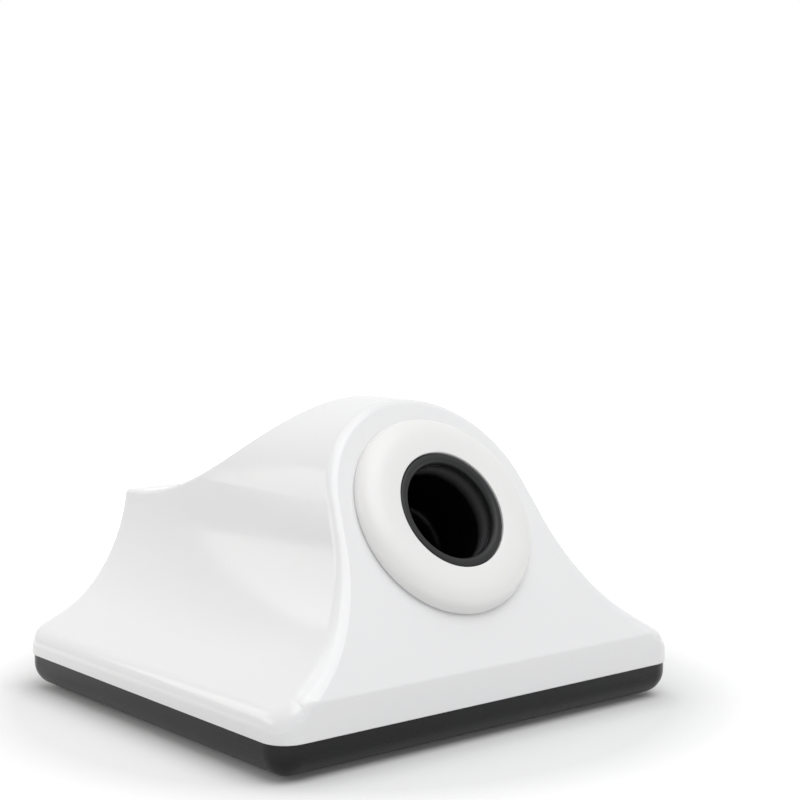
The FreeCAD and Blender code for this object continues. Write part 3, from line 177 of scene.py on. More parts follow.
class NodePad:
    """Short-hand for building one material's node tree."""

    def __init__(self, material: bpy.types.Material) -> None:
        """Takes over a new material's tree.

        Args:
            material: Material with nodes switched on.
        """
        self.tree = material.node_tree
        self.shader = self.tree.nodes["Principled BSDF"]

    def add(self, kind: str) -> bpy.types.Node:
        """Adds a node of a kind."""
        return self.tree.nodes.new(kind)

    def link(self, source: bpy.types.NodeSocket, target: bpy.types.NodeSocket) -> None:
        """Links an output to an input."""
        self.tree.links.new(source, target)

    def object_place(self) -> bpy.types.NodeSocket:
        """Object coordinates, which are the frame's own metres."""
        return self.add("ShaderNodeTexCoord").outputs["Object"]

    def along(self, place: bpy.types.NodeSocket, axis: Rgb) -> bpy.types.NodeSocket:
        """Distance along an axis through the frame's origin.

        Args:
            place: Coordinates to read.
            axis: Direction of the axis.

        Returns:
            The distance output.
        """
        node = self.add("ShaderNodeVectorMath")
        node.operation = "DOT_PRODUCT"
        node.inputs[1].default_value = axis
        self.link(place, node.inputs[0])
        return node.outputs["Value"]

    def noise(self, place: bpy.types.NodeSocket, scale: float, detail: float) -> bpy.types.NodeSocket:
        """Noise at a scale.

        Args:
            place: Coordinates to read.
            scale: Waves per metre.
            detail: Octaves.

        Returns:
            The factor output.
        """
        node = self.add("ShaderNodeTexNoise")
        node.inputs["Scale"].default_value = scale
        node.inputs["Detail"].default_value = detail
        self.link(place, node.inputs["Vector"])
        return node.outputs["Fac"]

    def cells(self, place: bpy.types.NodeSocket, scale: float) -> bpy.types.NodeSocket:
        """Smooth cell pattern at a scale.

        Args:
            place: Coordinates to read.
            scale: Cells per metre.

        Returns:
            The distance output.
        """
        node = self.add("ShaderNodeTexVoronoi")
        node.feature = "SMOOTH_F1"
        node.inputs["Scale"].default_value = scale
        self.link(place, node.inputs["Vector"])
        return node.outputs["Distance"]

    def spread(
        self, value: bpy.types.NodeSocket, low: float, high: float, to_low: float, to_high: float
    ) -> bpy.types.NodeSocket:
        """Maps a value's range onto another, clamped.

        Args:
            value: Value to map.
            low: Low end of its range.
            high: High end of its range.
            to_low: Low end of the result.
            to_high: High end of the result.

        Returns:
            The mapped value.
        """
        node = self.add("ShaderNodeMapRange")
        for socket, number in zip(
            ("From Min", "From Max", "To Min", "To Max"), (low, high, to_low, to_high)
        ):
            node.inputs[socket].default_value = number
        self.link(value, node.inputs["Value"])
        return node.outputs["Result"]

    def ramp(
        self, value: bpy.types.NodeSocket, stops: list[tuple[float, Rgb]]
    ) -> bpy.types.NodeSocket:
        """Colour ramp over a value.

        Args:
            value: Value to read.
            stops: Two or more (position, colour) stops.

        Returns:
            The colour output.
        """
        node = self.add("ShaderNodeValToRGB")
        for position, _ in stops[2:]:
            node.color_ramp.elements.new(position)
        for element, (position, colour) in zip(node.color_ramp.elements, stops):
            element.position = position
            element.color = (*colour, 1.0)
        self.link(value, node.inputs["Fac"])
        return node.outputs["Color"]

    def bump(self, height: bpy.types.NodeSocket, distance: float) -> bpy.types.NodeSocket:
        """Bump from a height.

        Args:
            height: Height from 0 to 1.
            distance: What 1 stands for, in metres.

        Returns:
            The bent normal.
        """
        node = self.add("ShaderNodeBump")
        node.inputs["Strength"].default_value = 1.0
        node.inputs["Distance"].default_value = distance
        self.link(height, node.inputs["Height"])
        return node.outputs["Normal"]


WHITE_GLOSS = Finish(
    "white_gloss_moulding",
    (0.84, 0.84, 0.845),
    roughness=0.13,
    rough_spread=0.03,
    tint_spread=0.004,
    noise=Noise.RIPPLE,
    noise_scale=260.0,
    bump=0.000004,
    translucency=0.06,
)
WHITE_SATIN = Finish(
    "white_satin_moulding",
    (0.83, 0.826, 0.818),
    roughness=0.33,
    rough_spread=0.03,
    tint_spread=0.004,
    noise=Noise.RIPPLE,
    noise_scale=420.0,
    bump=0.000003,
    translucency=0.06,
)
BLACK_SATIN = Finish(
    "black_satin_tray",
    (0.0035, 0.0035, 0.0038),
    roughness=0.28,
    rough_spread=0.015,
    specular=0.3,
    noise_scale=2600.0,
    bump=0.000003,
)
RIM_SATIN = Finish(
    "charcoal_satin_rim",
    (0.017, 0.0175, 0.0185),
    roughness=0.36,
    specular=0.24,
    noise_scale=3200.0,
    bump=0.000006,
)
CUP_GLOSS = Finish(
    "black_glazed_cup",
    (0.003, 0.003, 0.003),
    roughness=0.1,
    rough_spread=0.03,
    specular=0.8,
    noise=Noise.RIPPLE,
    noise_scale=300.0,
    bump=0.000004,
    coat=0.6,
    # Painted reflection: a lighter grey band on the cup's inner wall near its mouth, standing in for its
    # highlights.
    painted_reflection=PaintedReflectionBand((0.0, -0.8607, 0.5090), 0.0664, 0.0604, (0.08, 0.08, 0.083)),
)
SWITCH_SATIN = Finish("black_satin_switch", (0.013, 0.013, 0.014), roughness=0.36, bump=0.000008)
INLET_SATIN = Finish("black_satin_inlet", (0.014, 0.014, 0.015), roughness=0.4, bump=0.000008)
FOOT_RUBBER = Finish(
    "black_rubber", (0.02, 0.02, 0.02), roughness=0.75, noise=Noise.DIMPLE, noise_scale=1800.0
)
SCREW_ZINC = Finish("zinc_plated_screw", (0.62, 0.62, 0.64), roughness=0.3, metallic=1.0)
NUT_NICKEL = Finish("nickel_plated_nut", (0.66, 0.64, 0.6), roughness=0.25, metallic=1.0)
BLADE_BRASS = Finish("tinned_brass_blade", (0.7, 0.55, 0.3), roughness=0.32, metallic=1.0)
SINK_ALUMINIUM = Finish("extruded_aluminium", (0.8, 0.81, 0.82), roughness=0.38, metallic=1.0)
COPPER = Finish(
    "enamelled_copper", (0.72, 0.32, 0.16), roughness=0.28, metallic=1.0, coat=0.6, tint_spread=0.08
)
NATURAL_PLASTIC = Finish(
    "natural_heat_plastic", (0.68, 0.63, 0.5), roughness=0.45, translucency=0.08
)
BOARD_LACQUER = Finish(
    "green_solder_mask",
    (0.015, 0.14, 0.04),
    roughness=0.28,
    noise=Noise.DIMPLE,
    noise_scale=700.0,
    bump=0.00001,
    coat=0.3,
)
MOULDED_BLACK = Finish("moulded_black", (0.02, 0.02, 0.021), roughness=0.5)
CAN_SLEEVE = Finish("blue_shrink_sleeve", (0.012, 0.022, 0.09), roughness=0.3, coat=0.3)
FILM_BOX = Finish("yellow_film_box", (0.62, 0.4, 0.03), roughness=0.35)
TERMINAL_GREEN = Finish("green_terminal", (0.03, 0.25, 0.07), roughness=0.42)
DIODE_EPOXY = Finish("smoked_epoxy", (0.08, 0.1, 0.2), roughness=0.12, coat=0.8)
WIRE_WHITE = Finish("white_insulation", (0.72, 0.71, 0.68), roughness=0.42)
WIRE_RED = Finish("red_insulation", (0.45, 0.012, 0.01), roughness=0.4)
WIRE_BLACK = Finish("black_insulation", (0.015, 0.015, 0.015), roughness=0.42)
MARK_WHITE = Finish("printed_white", (0.75, 0.75, 0.75), roughness=0.5)

NODE_FINISHES: dict[str, Finish] = {
    "upper_shell": WHITE_GLOSS,
    "bezel_ring": WHITE_SATIN,
    "base_tray": BLACK_SATIN,
    "tunnel_rim": RIM_SATIN,
    "heating_cup": CUP_GLOSS,
    "rubber_feet": FOOT_RUBBER,
    "case_screws": SCREW_ZINC,
    "bracket_screws": SCREW_ZINC,
    "board_screws": SCREW_ZINC,
    "cup_bracket": NATURAL_PLASTIC,
    "coil_former": NATURAL_PLASTIC,
    "induction_coil": COPPER,
    "sensor_board": BOARD_LACQUER,
    "ir_emitter": DIODE_EPOXY,
    "ir_receiver": MOULDED_BLACK,
    "power_board": BOARD_LACQUER,
    "heat_sink": SINK_ALUMINIUM,
    "power_transistors": MOULDED_BLACK,
    "smoothing_capacitor": CAN_SLEEVE,
    "choke_coils": COPPER,
    "film_capacitors": FILM_BOX,
    "control_chip": MOULDED_BLACK,
    "supply_terminal": TERMINAL_GREEN,
    "coil_terminal": TERMINAL_GREEN,
    "power_switch_body": SWITCH_SATIN,
    "power_rocker": SWITCH_SATIN,
    "switch_blades": BLADE_BRASS,
    "dc_inlet": INLET_SATIN,
    "dc_inlet_nut": NUT_NICKEL,
    "coil_leads": WIRE_WHITE,
    "supply_leads": WIRE_RED,
    "switch_lead": WIRE_RED,
    "sensor_lead": WIRE_BLACK,
}


class Wardrobe:
    """Makes each finish once and dresses objects in it."""

    def __init__(self) -> None:
        """Starts with no material made."""
        self.made: dict[str, bpy.types.Material] = {}

    def material(self, finish: Finish) -> bpy.types.Material:
        """The material of a finish, made when first asked for."""
        if finish.name not in self.made:
            self.made[finish.name] = finish.make()
        return self.made[finish.name]

    def dress(self, piece: bpy.types.Object, finish: Finish) -> None:
        """Gives a whole object one finish.

        Args:
            piece: Object to dress.
            finish: Finish that it gets.
        """
        piece.data.materials.clear()
        piece.data.materials.append(self.material(finish))


@dataclass(frozen=True)
class Axes:
    """Axes that a group of pieces is drawn in.

    Attributes:
        origin: Where they start, in millimetres.
        across: Direction of their x.
        upward: Direction of their y.
        outward: Direction of their z.
    """

    origin: Rgb = (0.0, 0.0, 0.0)
    across: Rgb = (1.0, 0.0, 0.0)
    upward: Rgb = (0.0, 1.0, 0.0)
    outward: Rgb = (0.0, 0.0, 1.0)

    def matrix(self) -> Matrix:
        """Matrix from these axes in millimetres to the frame in metres."""
        turn = Matrix((self.across, self.upward, self.outward)).transposed().to_4x4()
        return Matrix.Scale(MM, 4) @ Matrix.Translation(self.origin) @ turn


@dataclass(frozen=True)
class Corner:
    """Corner of a turned outline.

    Attributes:
        radius: Distance from the axis.
        height: Height along the axis.
        rounding: Width of its rounding, 0 for a sharp corner.
        steps: Segments of the rounding.
    """

    radius: float
    height: float
    rounding: float = 0.0
    steps: int = 3


@dataclass
class Bench:
    """Turns sketches into finished, dressed pieces that ride on the frame.

    Attributes:
        wardrobe: Where the finishes come from.
        made: Names of the pieces finished so far.
    """

    wardrobe: Wardrobe
    made: list[str] = field(default_factory=list)

    def turn(self, outline: list[Corner], steps: int = 160) -> bmesh.types.BMesh:
        """Turns a closed outline round the z axis and rounds its corners.

        Args:
            outline: Corners in order; the last joins the first.
            steps: Facets round the axis.

        Returns:
            The turned shape, in millimetres.
        """
        shape = bmesh.new()
        verts = [shape.verts.new((c.radius, 0.0, c.height)) for c in outline]
        edges = [
            shape.edges.new((a, b))
            for a, b in zip(verts, verts[1:] + verts[:1])
            if max(a.co.x, b.co.x) > TINY
        ]
        bmesh.ops.spin(
            shape,
            geom=verts + edges,
            axis=(0.0, 0.0, 1.0),
            cent=(0.0, 0.0, 0.0),
            angle=math.tau,
            steps=steps,
            use_merge=True,
        )
        bmesh.ops.remove_doubles(shape, verts=shape.verts, dist=TINY)
        bmesh.ops.recalc_face_normals(shape, faces=shape.faces)
        for corner in outline:
            if corner.rounding:
                self.round_ring(shape, corner)
        return shape

    def round_ring(self, shape: bmesh.types.BMesh, corner: Corner) -> None:
        """Rounds the ring of edges at one corner of a turned shape.

        Args:
            shape: Turned shape.
            corner: Corner whose ring is rounded.
        """
        ring = [
            e
            for e in shape.edges
            if all(
                abs(v.co.xy.length - corner.radius) < RING_REACH
                and abs(v.co.z - corner.height) < RING_REACH
                for v in e.verts
            )
        ]
        self.round_edges(shape, ring, corner.rounding, corner.steps)

    @staticmethod
    def round_edges(
        shape: bmesh.types.BMesh, edges: list[bmesh.types.BMEdge], width: float, steps: int = 3
    ) -> None:
        """Rounds edges.

        Args:
            shape: Shape that holds them.
            edges: Edges to round.
            width: Width of the rounding.
            steps: Segments of the rounding.
        """
        bmesh.ops.bevel(
            shape,
            geom=edges,
            offset=width,
            segments=steps,
            profile=0.5,
            affect="EDGES",
            material=-1,
            clamp_overlap=True,
        )

    @staticmethod
    def block(size: Rgb, centre: Rgb) -> bmesh.types.BMesh:
        """Plain block, to be rounded or cut.

        Args:
            size: Its three sizes.
            centre: Its centre.

        Returns:
            The block.
        """
        shape = bmesh.new()
        place = Matrix.Translation(centre) @ Matrix.Diagonal((*size, 1.0))
        bmesh.ops.create_cube(shape, size=1.0, matrix=place)
        return shape

    @staticmethod
    def join(parts: list[bmesh.types.BMesh]) -> bmesh.types.BMesh:
        """Gathers shapes into the first and frees the others.

        Args:
            parts: Shapes to gather.

        Returns:
            The first shape with all of them.
        """
        for part in parts[1:]:
            scrap = bpy.data.meshes.new("scrap")
            part.to_mesh(scrap)
            part.free()
            parts[0].from_mesh(scrap)
            bpy.data.meshes.remove(scrap)
        return parts[0]

    def finish(
        self,
        name: str,
        shape: bmesh.types.BMesh,
        axes: Axes,
        finish: Finish,
        body: str,
        slot: str,
        replaced: tuple[str, ...] = (),
        crease: float = 35.0,
    ) -> bpy.types.Object:
        """Places a shape, dresses it and lets it ride on its body.

        Args:
            name: Name of the piece.
            shape: Shape in millimetres; it is freed.
            axes: Axes it was drawn in.
            finish: Its finish.
            body: Body it moves with.
            slot: Material slot of the record; not used.
            replaced: Solids it stands for.
            crease: Angle past which an edge stays sharp, in degrees.

        Returns:
            The finished piece.
        """
        bmesh.ops.transform(shape, matrix=axes.matrix(), verts=shape.verts)
        mesh = bpy.data.meshes.new(name)
        shape.to_mesh(mesh)
        shape.free()
        mesh.shade_smooth()
        mesh.set_sharp_from_angle(angle=math.radians(crease))
        piece = bpy.data.objects.new(name, mesh)
        bpy.context.scene.collection.objects.link(piece)
        self.wardrobe.dress(piece, finish)
        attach(piece, body)
        if replaced:
            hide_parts(*replaced)
        self.made.append(name)
        LOG.info("%s: %d faces, %s", name, len(mesh.polygons), finish.name)
        return piece


@dataclass
class Mouth:
    """Slanted mouth of the case: white ring, dark rim and glazed cup.

    Attributes:
        height: Height of its centre above the table.
        setback: Its centre's distance from the middle, towards the front.
        tilt: Lean of its face from upright, in degrees.
        ring_radius: Radius of the white ring.
        ring_thickness: How far the ring stands out of the face.
        edge_width: Width of the ring's pillowed edge.
        edge_drop: Height of that edge.
        edge_power: How softly that edge leaves the flat front; 2 is an ellipse.
        shadow_gap: Height of the gap under the ring's edge.
        shadow_depth: Depth of that gap.
        spigot_radius: Radius of the sleeve that goes into the case.
        spigot_length: Its length.
        rim_radius: Outer radius of the dark rim.
        mouth_radius: Inner radius of rim and cup.
        rim_drop: How far the rim's crown lies behind the ring's front.
        cup_depth: Depth of the cup from the ring's front.
        cup_wall: Its wall.
        cup_end: Thickness of its closed end.
        post_length: Length of the posts on its end.
        ledge: Depth of the rim's ledge over the cup's edge.
        gap: Room between ring and rim.
    """

    height: float = 54.8
    setback: float = 41.4
    tilt: float = 30.6
    ring_radius: float = 27.35
    ring_thickness: float = 4.9
    edge_width: float = 7.0
    edge_drop: float = 4.2
    edge_power: float = 2.6
    shadow_gap: float = 0.35
    shadow_depth: float = 0.45
    spigot_radius: float = 19.6
    spigot_length: float = 5.4
    rim_radius: float = 16.1
    mouth_radius: float = 13.3
    rim_drop: float = 0.2
    cup_depth: float = 43.0
    cup_wall: float = 1.3
    cup_end: float = 1.6
    post_length: float = 3.0
    ledge: float = 0.75
    gap: float = 0.07

    def axes(self) -> Axes:
        """Axes of the mouth: z out of it, y up along its face."""
        lean = math.radians(self.tilt)
        return Axes(
            origin=(0.0, -self.setback, self.height),
            upward=(0.0, math.sin(lean), math.cos(lean)),
            outward=(0.0, -math.cos(lean), math.sin(lean)),
        )

    def build(self, bench: Bench) -> None:
        """Makes the ring, the rim and the cup.

        Args:
            bench: Bench that finishes them.
        """
        self._ring(bench)
        self._rim(bench)
        self._cup(bench)

    def _ring(self, bench: Bench) -> None:
        """Pillowed ring over a shadow gap, with its sleeve and snap hooks."""
        bore = self.rim_radius + self.gap
        outline = [
            Corner(bore, self.ring_thickness, 0.25, 4),
            Corner(self.ring_radius, self.ring_thickness, self.edge_drop, 30),
            Corner(self.ring_radius, self.shadow_gap, 0.12, 2),
            Corner(self.ring_radius - self.shadow_depth, self.shadow_gap),
            Corner(self.ring_radius - self.shadow_depth, 0.0),
            Corner(self.spigot_radius, 0.0, 0.3, 2),
            Corner(self.spigot_radius, -self.spigot_length, 0.4, 2),
            Corner(bore, -self.spigot_length, 0.2, 2),
        ]
        disc = bench.turn(outline, steps=224)
        inner = self.ring_radius - self.edge_drop
        for vert in disc.verts:
            reach = vert.co.xy.length
            if reach > inner - RING_REACH and vert.co.z > self.ring_thickness - self.edge_drop - RING_REACH:
                share = max(0.0, (reach - inner) / self.edge_drop) ** (2.0 / self.edge_power)
                vert.co.xy *= (self.ring_radius - self.edge_width * (1.0 - share)) / reach
        parts = [disc]
        for k in range(4):
            hook = bench.block((1.8, 7.0, 1.8), (self.spigot_radius + 0.4, 0.0, -3.5))
            tips = [v for v in hook.verts if v.co.z < -3.5 and v.co.x > self.spigot_radius + 0.4]
            bmesh.ops.translate(hook, verts=tips, vec=(-1.2, 0.0, 0.0))
            bench.round_edges(hook, list(hook.edges), 0.15, 2)
            spin = Matrix.Rotation(math.radians(30.0 + 90.0 * k), 4, "Z")
            bmesh.ops.transform(hook, matrix=spin, verts=hook.verts)
            parts.append(hook)
        bench.finish(
            "ring_cover", bench.join(parts), self.axes(), WHITE_SATIN, "housing", "white_ring",
            ("bezel_ring",),
        )

    def _rim(self, bench: Bench) -> None:
        """Half-round bead on a thin sleeve."""
        crown = self.ring_thickness - self.rim_drop
        bead = (self.rim_radius - self.mouth_radius) / 2
        low = 1.6 - self.spigot_length
        neck = self.mouth_radius + self.cup_wall + self.gap
        outline = [
            Corner(self.mouth_radius, crown, bead * 0.999, 14),
            Corner(self.rim_radius, crown, 0.9, 10),
            Corner(self.rim_radius, low),
            Corner(neck, low),
            Corner(neck, self.cup_edge()),
            Corner(self.mouth_radius, self.cup_edge(), 0.12, 2),
        ]
        bench.finish(
            "rim_bead", bench.turn(outline, steps=192), self.axes(), RIM_SATIN, "housing", "black_rim",
            ("tunnel_rim",), crease=60.0,
        )

    def cup_edge(self) -> float:
        """Height of the cup's edge, which seats under the rim's bead."""
        bead = (self.rim_radius - self.mouth_radius) / 2
        return self.ring_thickness - self.rim_drop - bead - self.ledge

    def _cup(self, bench: Bench) -> None:
        """Blind cup with a neck, a flange, a rounded end and two posts for the sensor board."""
        top = 1.6 - self.spigot_length
        end = self.ring_thickness - self.cup_depth
        outer = self.mouth_radius + self.cup_wall
        outline = [
            Corner(0.0, end),
            Corner(self.mouth_radius, end, 2.0, 8),
            Corner(self.mouth_radius, self.cup_edge(), 0.12, 2),
            Corner(outer, self.cup_edge(), 0.12, 2),
            Corner(outer, top),
            Corner(self.rim_radius, top, 0.12, 2),
            Corner(self.rim_radius, top - 1.6, 0.12, 2),
            Corner(outer, top - 1.6, 0.3, 2),
            Corner(outer, end - self.cup_end, 2.5, 8),
            Corner(0.0, end - self.cup_end),
        ]
        parts = [bench.turn(outline, steps=160)]
        for side in (-8.5, 8.5):
            low = end - self.cup_end - self.post_length
            post = bench.turn(
                [Corner(0.0, end - 1.0), Corner(1.6, end - 1.0), Corner(1.6, low, 0.2, 2), Corner(0.0, low)],
                steps=24,
            )
            bmesh.ops.translate(post, verts=post.verts, vec=(0.0, side, 0.0))
            parts.append(post)
        bench.finish(
            "glazed_cup", bench.join(parts), self.axes(), CUP_GLOSS, "housing", "black_cup",
            ("heating_cup",),
        )


@dataclass
class Winding:
    """Litz winding of the heater, two layers on the bobbin, in the mouth's axes.

    Attributes:
        inner: Radius of the bobbin's core.
        wire: Diameter of the wire.
        front: Front end of the winding along the axis.
        length: Its length.
        layers: Number of layers.
    """

    inner: float = 15.9
    wire: float = 1.6
    front: float = -9.1
    length: float = 22.4
    layers: int = 2

    def build(self, bench: Bench, axes: Axes) -> None:
        """Winds the layers.

        Args:
            bench: Bench that finishes them.
            axes: The mouth's axes.
        """
        turns = int(self.length / self.wire) - 1
        coil = bmesh.new()
        for layer in range(self.layers):
            radius = self.inner + self.wire * (layer + 0.5)
            rise = self.wire if layer % 2 == 0 else -self.wire
            start = self.front - self.length + self.wire / 2 if rise > 0 else self.front - self.wire / 2
            place = Matrix.Translation((radius, 0.0, start)) @ Matrix.Rotation(math.pi / 2, 4, "X")
            ring = bmesh.ops.create_circle(
                coil, cap_ends=False, segments=8, radius=self.wire * 0.49, matrix=place
            )["verts"]
            loops = list({e for v in ring for e in v.link_edges})
            bmesh.ops.spin(
                coil,
                geom=ring + loops,
                axis=(0.0, 0.0, 1.0),
                cent=(0.0, 0.0, 0.0),
                dvec=(0.0, 0.0, rise / 48),
                angle=math.tau * turns,
                steps=48 * turns,
                use_merge=False,
            )
        ends = [e for e in coil.edges if e.is_boundary]
        bmesh.ops.holes_fill(coil, edges=ends, sides=0)
        bmesh.ops.recalc_face_normals(coil, faces=coil.faces)
        bench.finish(
            "coil_turns", coil, axes, COPPER, "housing", "coil_copper", ("induction_coil",)
        )


@dataclass
class Chokes:
    """Two ring chokes on the board: a dark core in copper turns.

    Attributes:
        places: Their centres on the board.
        board_top: Height of the board's face.
        radius: Radius of the ring's centre line.
        section: Radius of its section over the turns.
        wire: Diameter of the wire.
        turns: Number of turns.
        spread: Share of the ring that they cover, in degrees.
    """

    places: tuple[tuple[float, float], ...] = ((-32.5, 28.3), (10.5, 37.6))
    board_top: float = 9.6
    radius: float = 5.6
    section: float = 2.58
    wire: float = 0.8
    turns: int = 22
    spread: float = 335.0

    def build(self, bench: Bench) -> None:
        """Makes the cores and winds them.

        Args:
            bench: Bench that finishes them.
        """
        cores, hoops = [], []
        for x, y in self.places:
            centre = (x, y, self.board_top + self.section)
            core = bench.turn(self._round(self.radius, self.section - self.wire - 0.05, 16), steps=64)
            bmesh.ops.translate(core, verts=core.verts, vec=centre)
            cores.append(core)
            for k in range(self.turns):
                hoop = bench.turn(self._round(self.section - self.wire / 2, self.wire / 2, 8), steps=20)
                place = (
                    Matrix.Translation(centre)
                    @ Matrix.Rotation(math.radians(self.spread * k / (self.turns - 1)), 4, "Z")
                    @ Matrix.Translation((self.radius, 0.0, 0.0))
                    @ Matrix.Rotation(math.pi / 2, 4, "X")
                )
                bmesh.ops.transform(hoop, matrix=place, verts=hoop.verts)
                hoops.append(hoop)
        bench.finish("choke_cores", bench.join(cores), Axes(), MOULDED_BLACK, "housing", "part_black")
        bench.finish(
            "choke_turns", bench.join(hoops), Axes(), COPPER, "housing", "choke_winding", ("choke_coils",)
        )

    @staticmethod
    def _round(radius: float, section: float, sides: int) -> list[Corner]:
        """Outline of a ring with a round section.

        Args:
            radius: Radius of its centre line.
            section: Radius of its section.
            sides: Corners of the section.

        Returns:
            The corners.
        """
        turns = [math.tau * k / sides for k in range(sides)]
        return [Corner(radius + section * math.cos(a), section * math.sin(a)) for a in turns]


@dataclass
class RearPanel:
    """What the rear wall carries: the rocker's marks and the power inlet.

    Attributes:
        height: Height of both panel parts above the table.
        wall_y: The wall's own y at that height.
        lean: Lean of the wall, in degrees.
        switch_x: Place of the switch.
        inlet_x: Place of the inlet.
        rocker_tilt: Tilt of the rocker in its off place, in degrees.
        pivot_depth: Depth of the rocker's pivot behind the wall.
        rocker_top: Height of the rocker's ends above the wall when level.
        rocker_dish: Depth of its hollow.
        rocker_half: Half the length of its hollow.
    """

    height: float = 35.0
    wall_y: float = 59.6925
    lean: float = 5.4
    switch_x: float = 20.0
    inlet_x: float = -20.0
    rocker_tilt: float = 11.0
    pivot_depth: float = 2.9
    rocker_top: float = 0.6
    rocker_dish: float = 0.9
    rocker_half: float = 7.194

    def axes(self, x: float) -> Axes:
        """Axes of a panel part: z out of the wall, y up along it.

        Args:
            x: Place of the part along the wall.

        Returns:
            Its axes.
        """
        lean = math.radians(self.lean)
        return Axes(
            origin=(x, self.wall_y, self.height),
            across=(-1.0, 0.0, 0.0),
            upward=(0.0, math.sin(lean), math.cos(lean)),
            outward=(0.0, math.cos(lean), -math.sin(lean)),
        )

    def build(self, bench: Bench) -> None:
        """Makes the marks and the inlet.

        Args:
            bench: Bench that finishes them.
        """
        self._marks(bench)
        self._inlet(bench)

    def _marks(self, bench: Bench) -> None:
        """Printed bar and ring on the rocker's hollow, for on and off."""
        bar = bench.block((0.5, 2.4, 0.1), (0.0, 3.7, 0.0))
        bench.round_edges(bar, [e for e in bar.edges if abs(e.verts[0].co.z - e.verts[1].co.z) > 0.05], 0.12)
        bmesh.ops.subdivide_edges(
            bar, edges=[e for e in bar.edges if e.calc_length() > 1.0], cuts=5, use_grid_fill=True
        )
        ring = bench.turn(
            [Corner(1.2, 0.05), Corner(1.2, -0.05), Corner(0.8, -0.05), Corner(0.8, 0.05)], steps=48
        )
        bmesh.ops.translate(ring, verts=ring.verts, vec=(0.0, -3.7, 0.0))
        marks = bench.join([bar, ring])
        sweep = (self.rocker_half**2 + self.rocker_dish**2) / (2 * self.rocker_dish)
        for vert in marks.verts:
            hollow = self.rocker_dish - (sweep - math.sqrt(sweep**2 - vert.co.y**2))
            vert.co.z += self.rocker_top - hollow + 0.02
        pivot = Matrix.Translation((0.0, 0.0, -self.pivot_depth))
        tilt = pivot @ Matrix.Rotation(math.radians(self.rocker_tilt), 4, "X") @ pivot.inverted()
        bmesh.ops.transform(marks, matrix=tilt, verts=marks.verts)
        bench.finish(
            "rocker_marks", marks, self.axes(self.switch_x), MARK_WHITE, "rocker", "white_shell"
        )

    def _inlet(self, bench: Bench) -> None:
        """Inlet with a stepped flange, its sprung contact and its plated pin."""
        axes = self.axes(self.inlet_x)
        shell = bench.turn(
            [
                Corner(3.1, 1.6, 0.35, 4),
                Corner(7.0, 1.6, 0.5, 6),
                Corner(7.0, 0.0, 0.1, 2),
                Corner(5.5, 0.0),
                Corner(5.5, -14.0, 0.5, 3),
                Corner(0.0, -14.0),
                Corner(0.0, -7.9),
                Corner(3.1, -7.9),
            ],
            steps=128,
        )
        bench.finish("inlet_socket", shell, axes, INLET_SATIN, "housing", "inlet_black", ("dc_inlet",))
        pin = bench.turn(
            [Corner(0.0, 0.6), Corner(1.05, 0.6, 0.5, 5), Corner(1.05, -8.0), Corner(0.0, -8.0)], steps=48
        )
        for side in (-2.6, 2.6):
            lug = bench.block((2.4, 0.8, 4.5), (0.0, side, -15.75))
            bench.round_edges(lug, list(lug.edges), 0.1, 2)
            bench.join([pin, lug])
        bench.finish("inlet_pin", pin, axes, NUT_NICKEL, "housing", "nut_metal")
        spring = bench.turn(
            [Corner(2.95, -1.2), Corner(3.08, -1.2), Corner(3.08, -7.6), Corner(2.95, -7.6)], steps=64
        )
        bench.finish("inlet_contact", spring, axes, NUT_NICKEL, "housing", "nut_metal")


@dataclass(frozen=True)
class Softbox:
    """Rectangular soft lamp that faces the object.

    Attributes:
        name: Name of the lamp.
        bearing: Direction it stands in, in degrees from +Y towards +X.
        rise: Its height above the horizon, in degrees.
        distance: Distance from the object in metres.
        width: Its width.
        height: Its height.
        radiance: Brightness of its face; 1 shows as white.
        tint: Colour of its light.
    """

    name: str
    bearing: float
    rise: float
    distance: float
    width: float
    height: float
    radiance: float
    tint: Rgb = (1.0, 1.0, 1.0)

    def hang(self, target: Vector) -> None:
        """Hangs the lamp so that it faces a point.

        Args:
            target: Point it faces.
        """
        light = bpy.data.lights.new(self.name, "AREA")
        light.shape = "RECTANGLE"
        light.size, light.size_y = self.width, self.height
        light.color = self.tint
        light.energy = self.radiance * math.pi * self.width * self.height
        bearing, rise = math.radians(self.bearing), math.radians(self.rise)
        away = Vector(
            (math.sin(bearing) * math.cos(rise), math.cos(bearing) * math.cos(rise), math.sin(rise))
        )
        lamp = bpy.data.objects.new(self.name, light)
        lamp.location = target + away * self.distance
        lamp.rotation_mode = "QUATERNION"
        lamp.rotation_quaternion = (-away).to_track_quat("-Z", "Y")
        bpy.context.scene.collection.objects.link(lamp)


SOFTBOXES = (
    Softbox("left_softbox", -64.0, 23.0, 1.1, 0.85, 0.27, 2.1, (1.0, 0.97, 0.945)),
    Softbox("left_card", -45.4, 23.0, 0.261, 0.078, 0.103, 1.4, (1.0, 0.97, 0.94)),
    Softbox("front_softbox", 178.0, 60.0, 1.2, 1.3, 0.88, 2.2, (0.985, 0.993, 1.0)),
    Softbox("top_softbox", 20.0, 82.0, 1.3, 0.9, 0.9, 1.0),
)


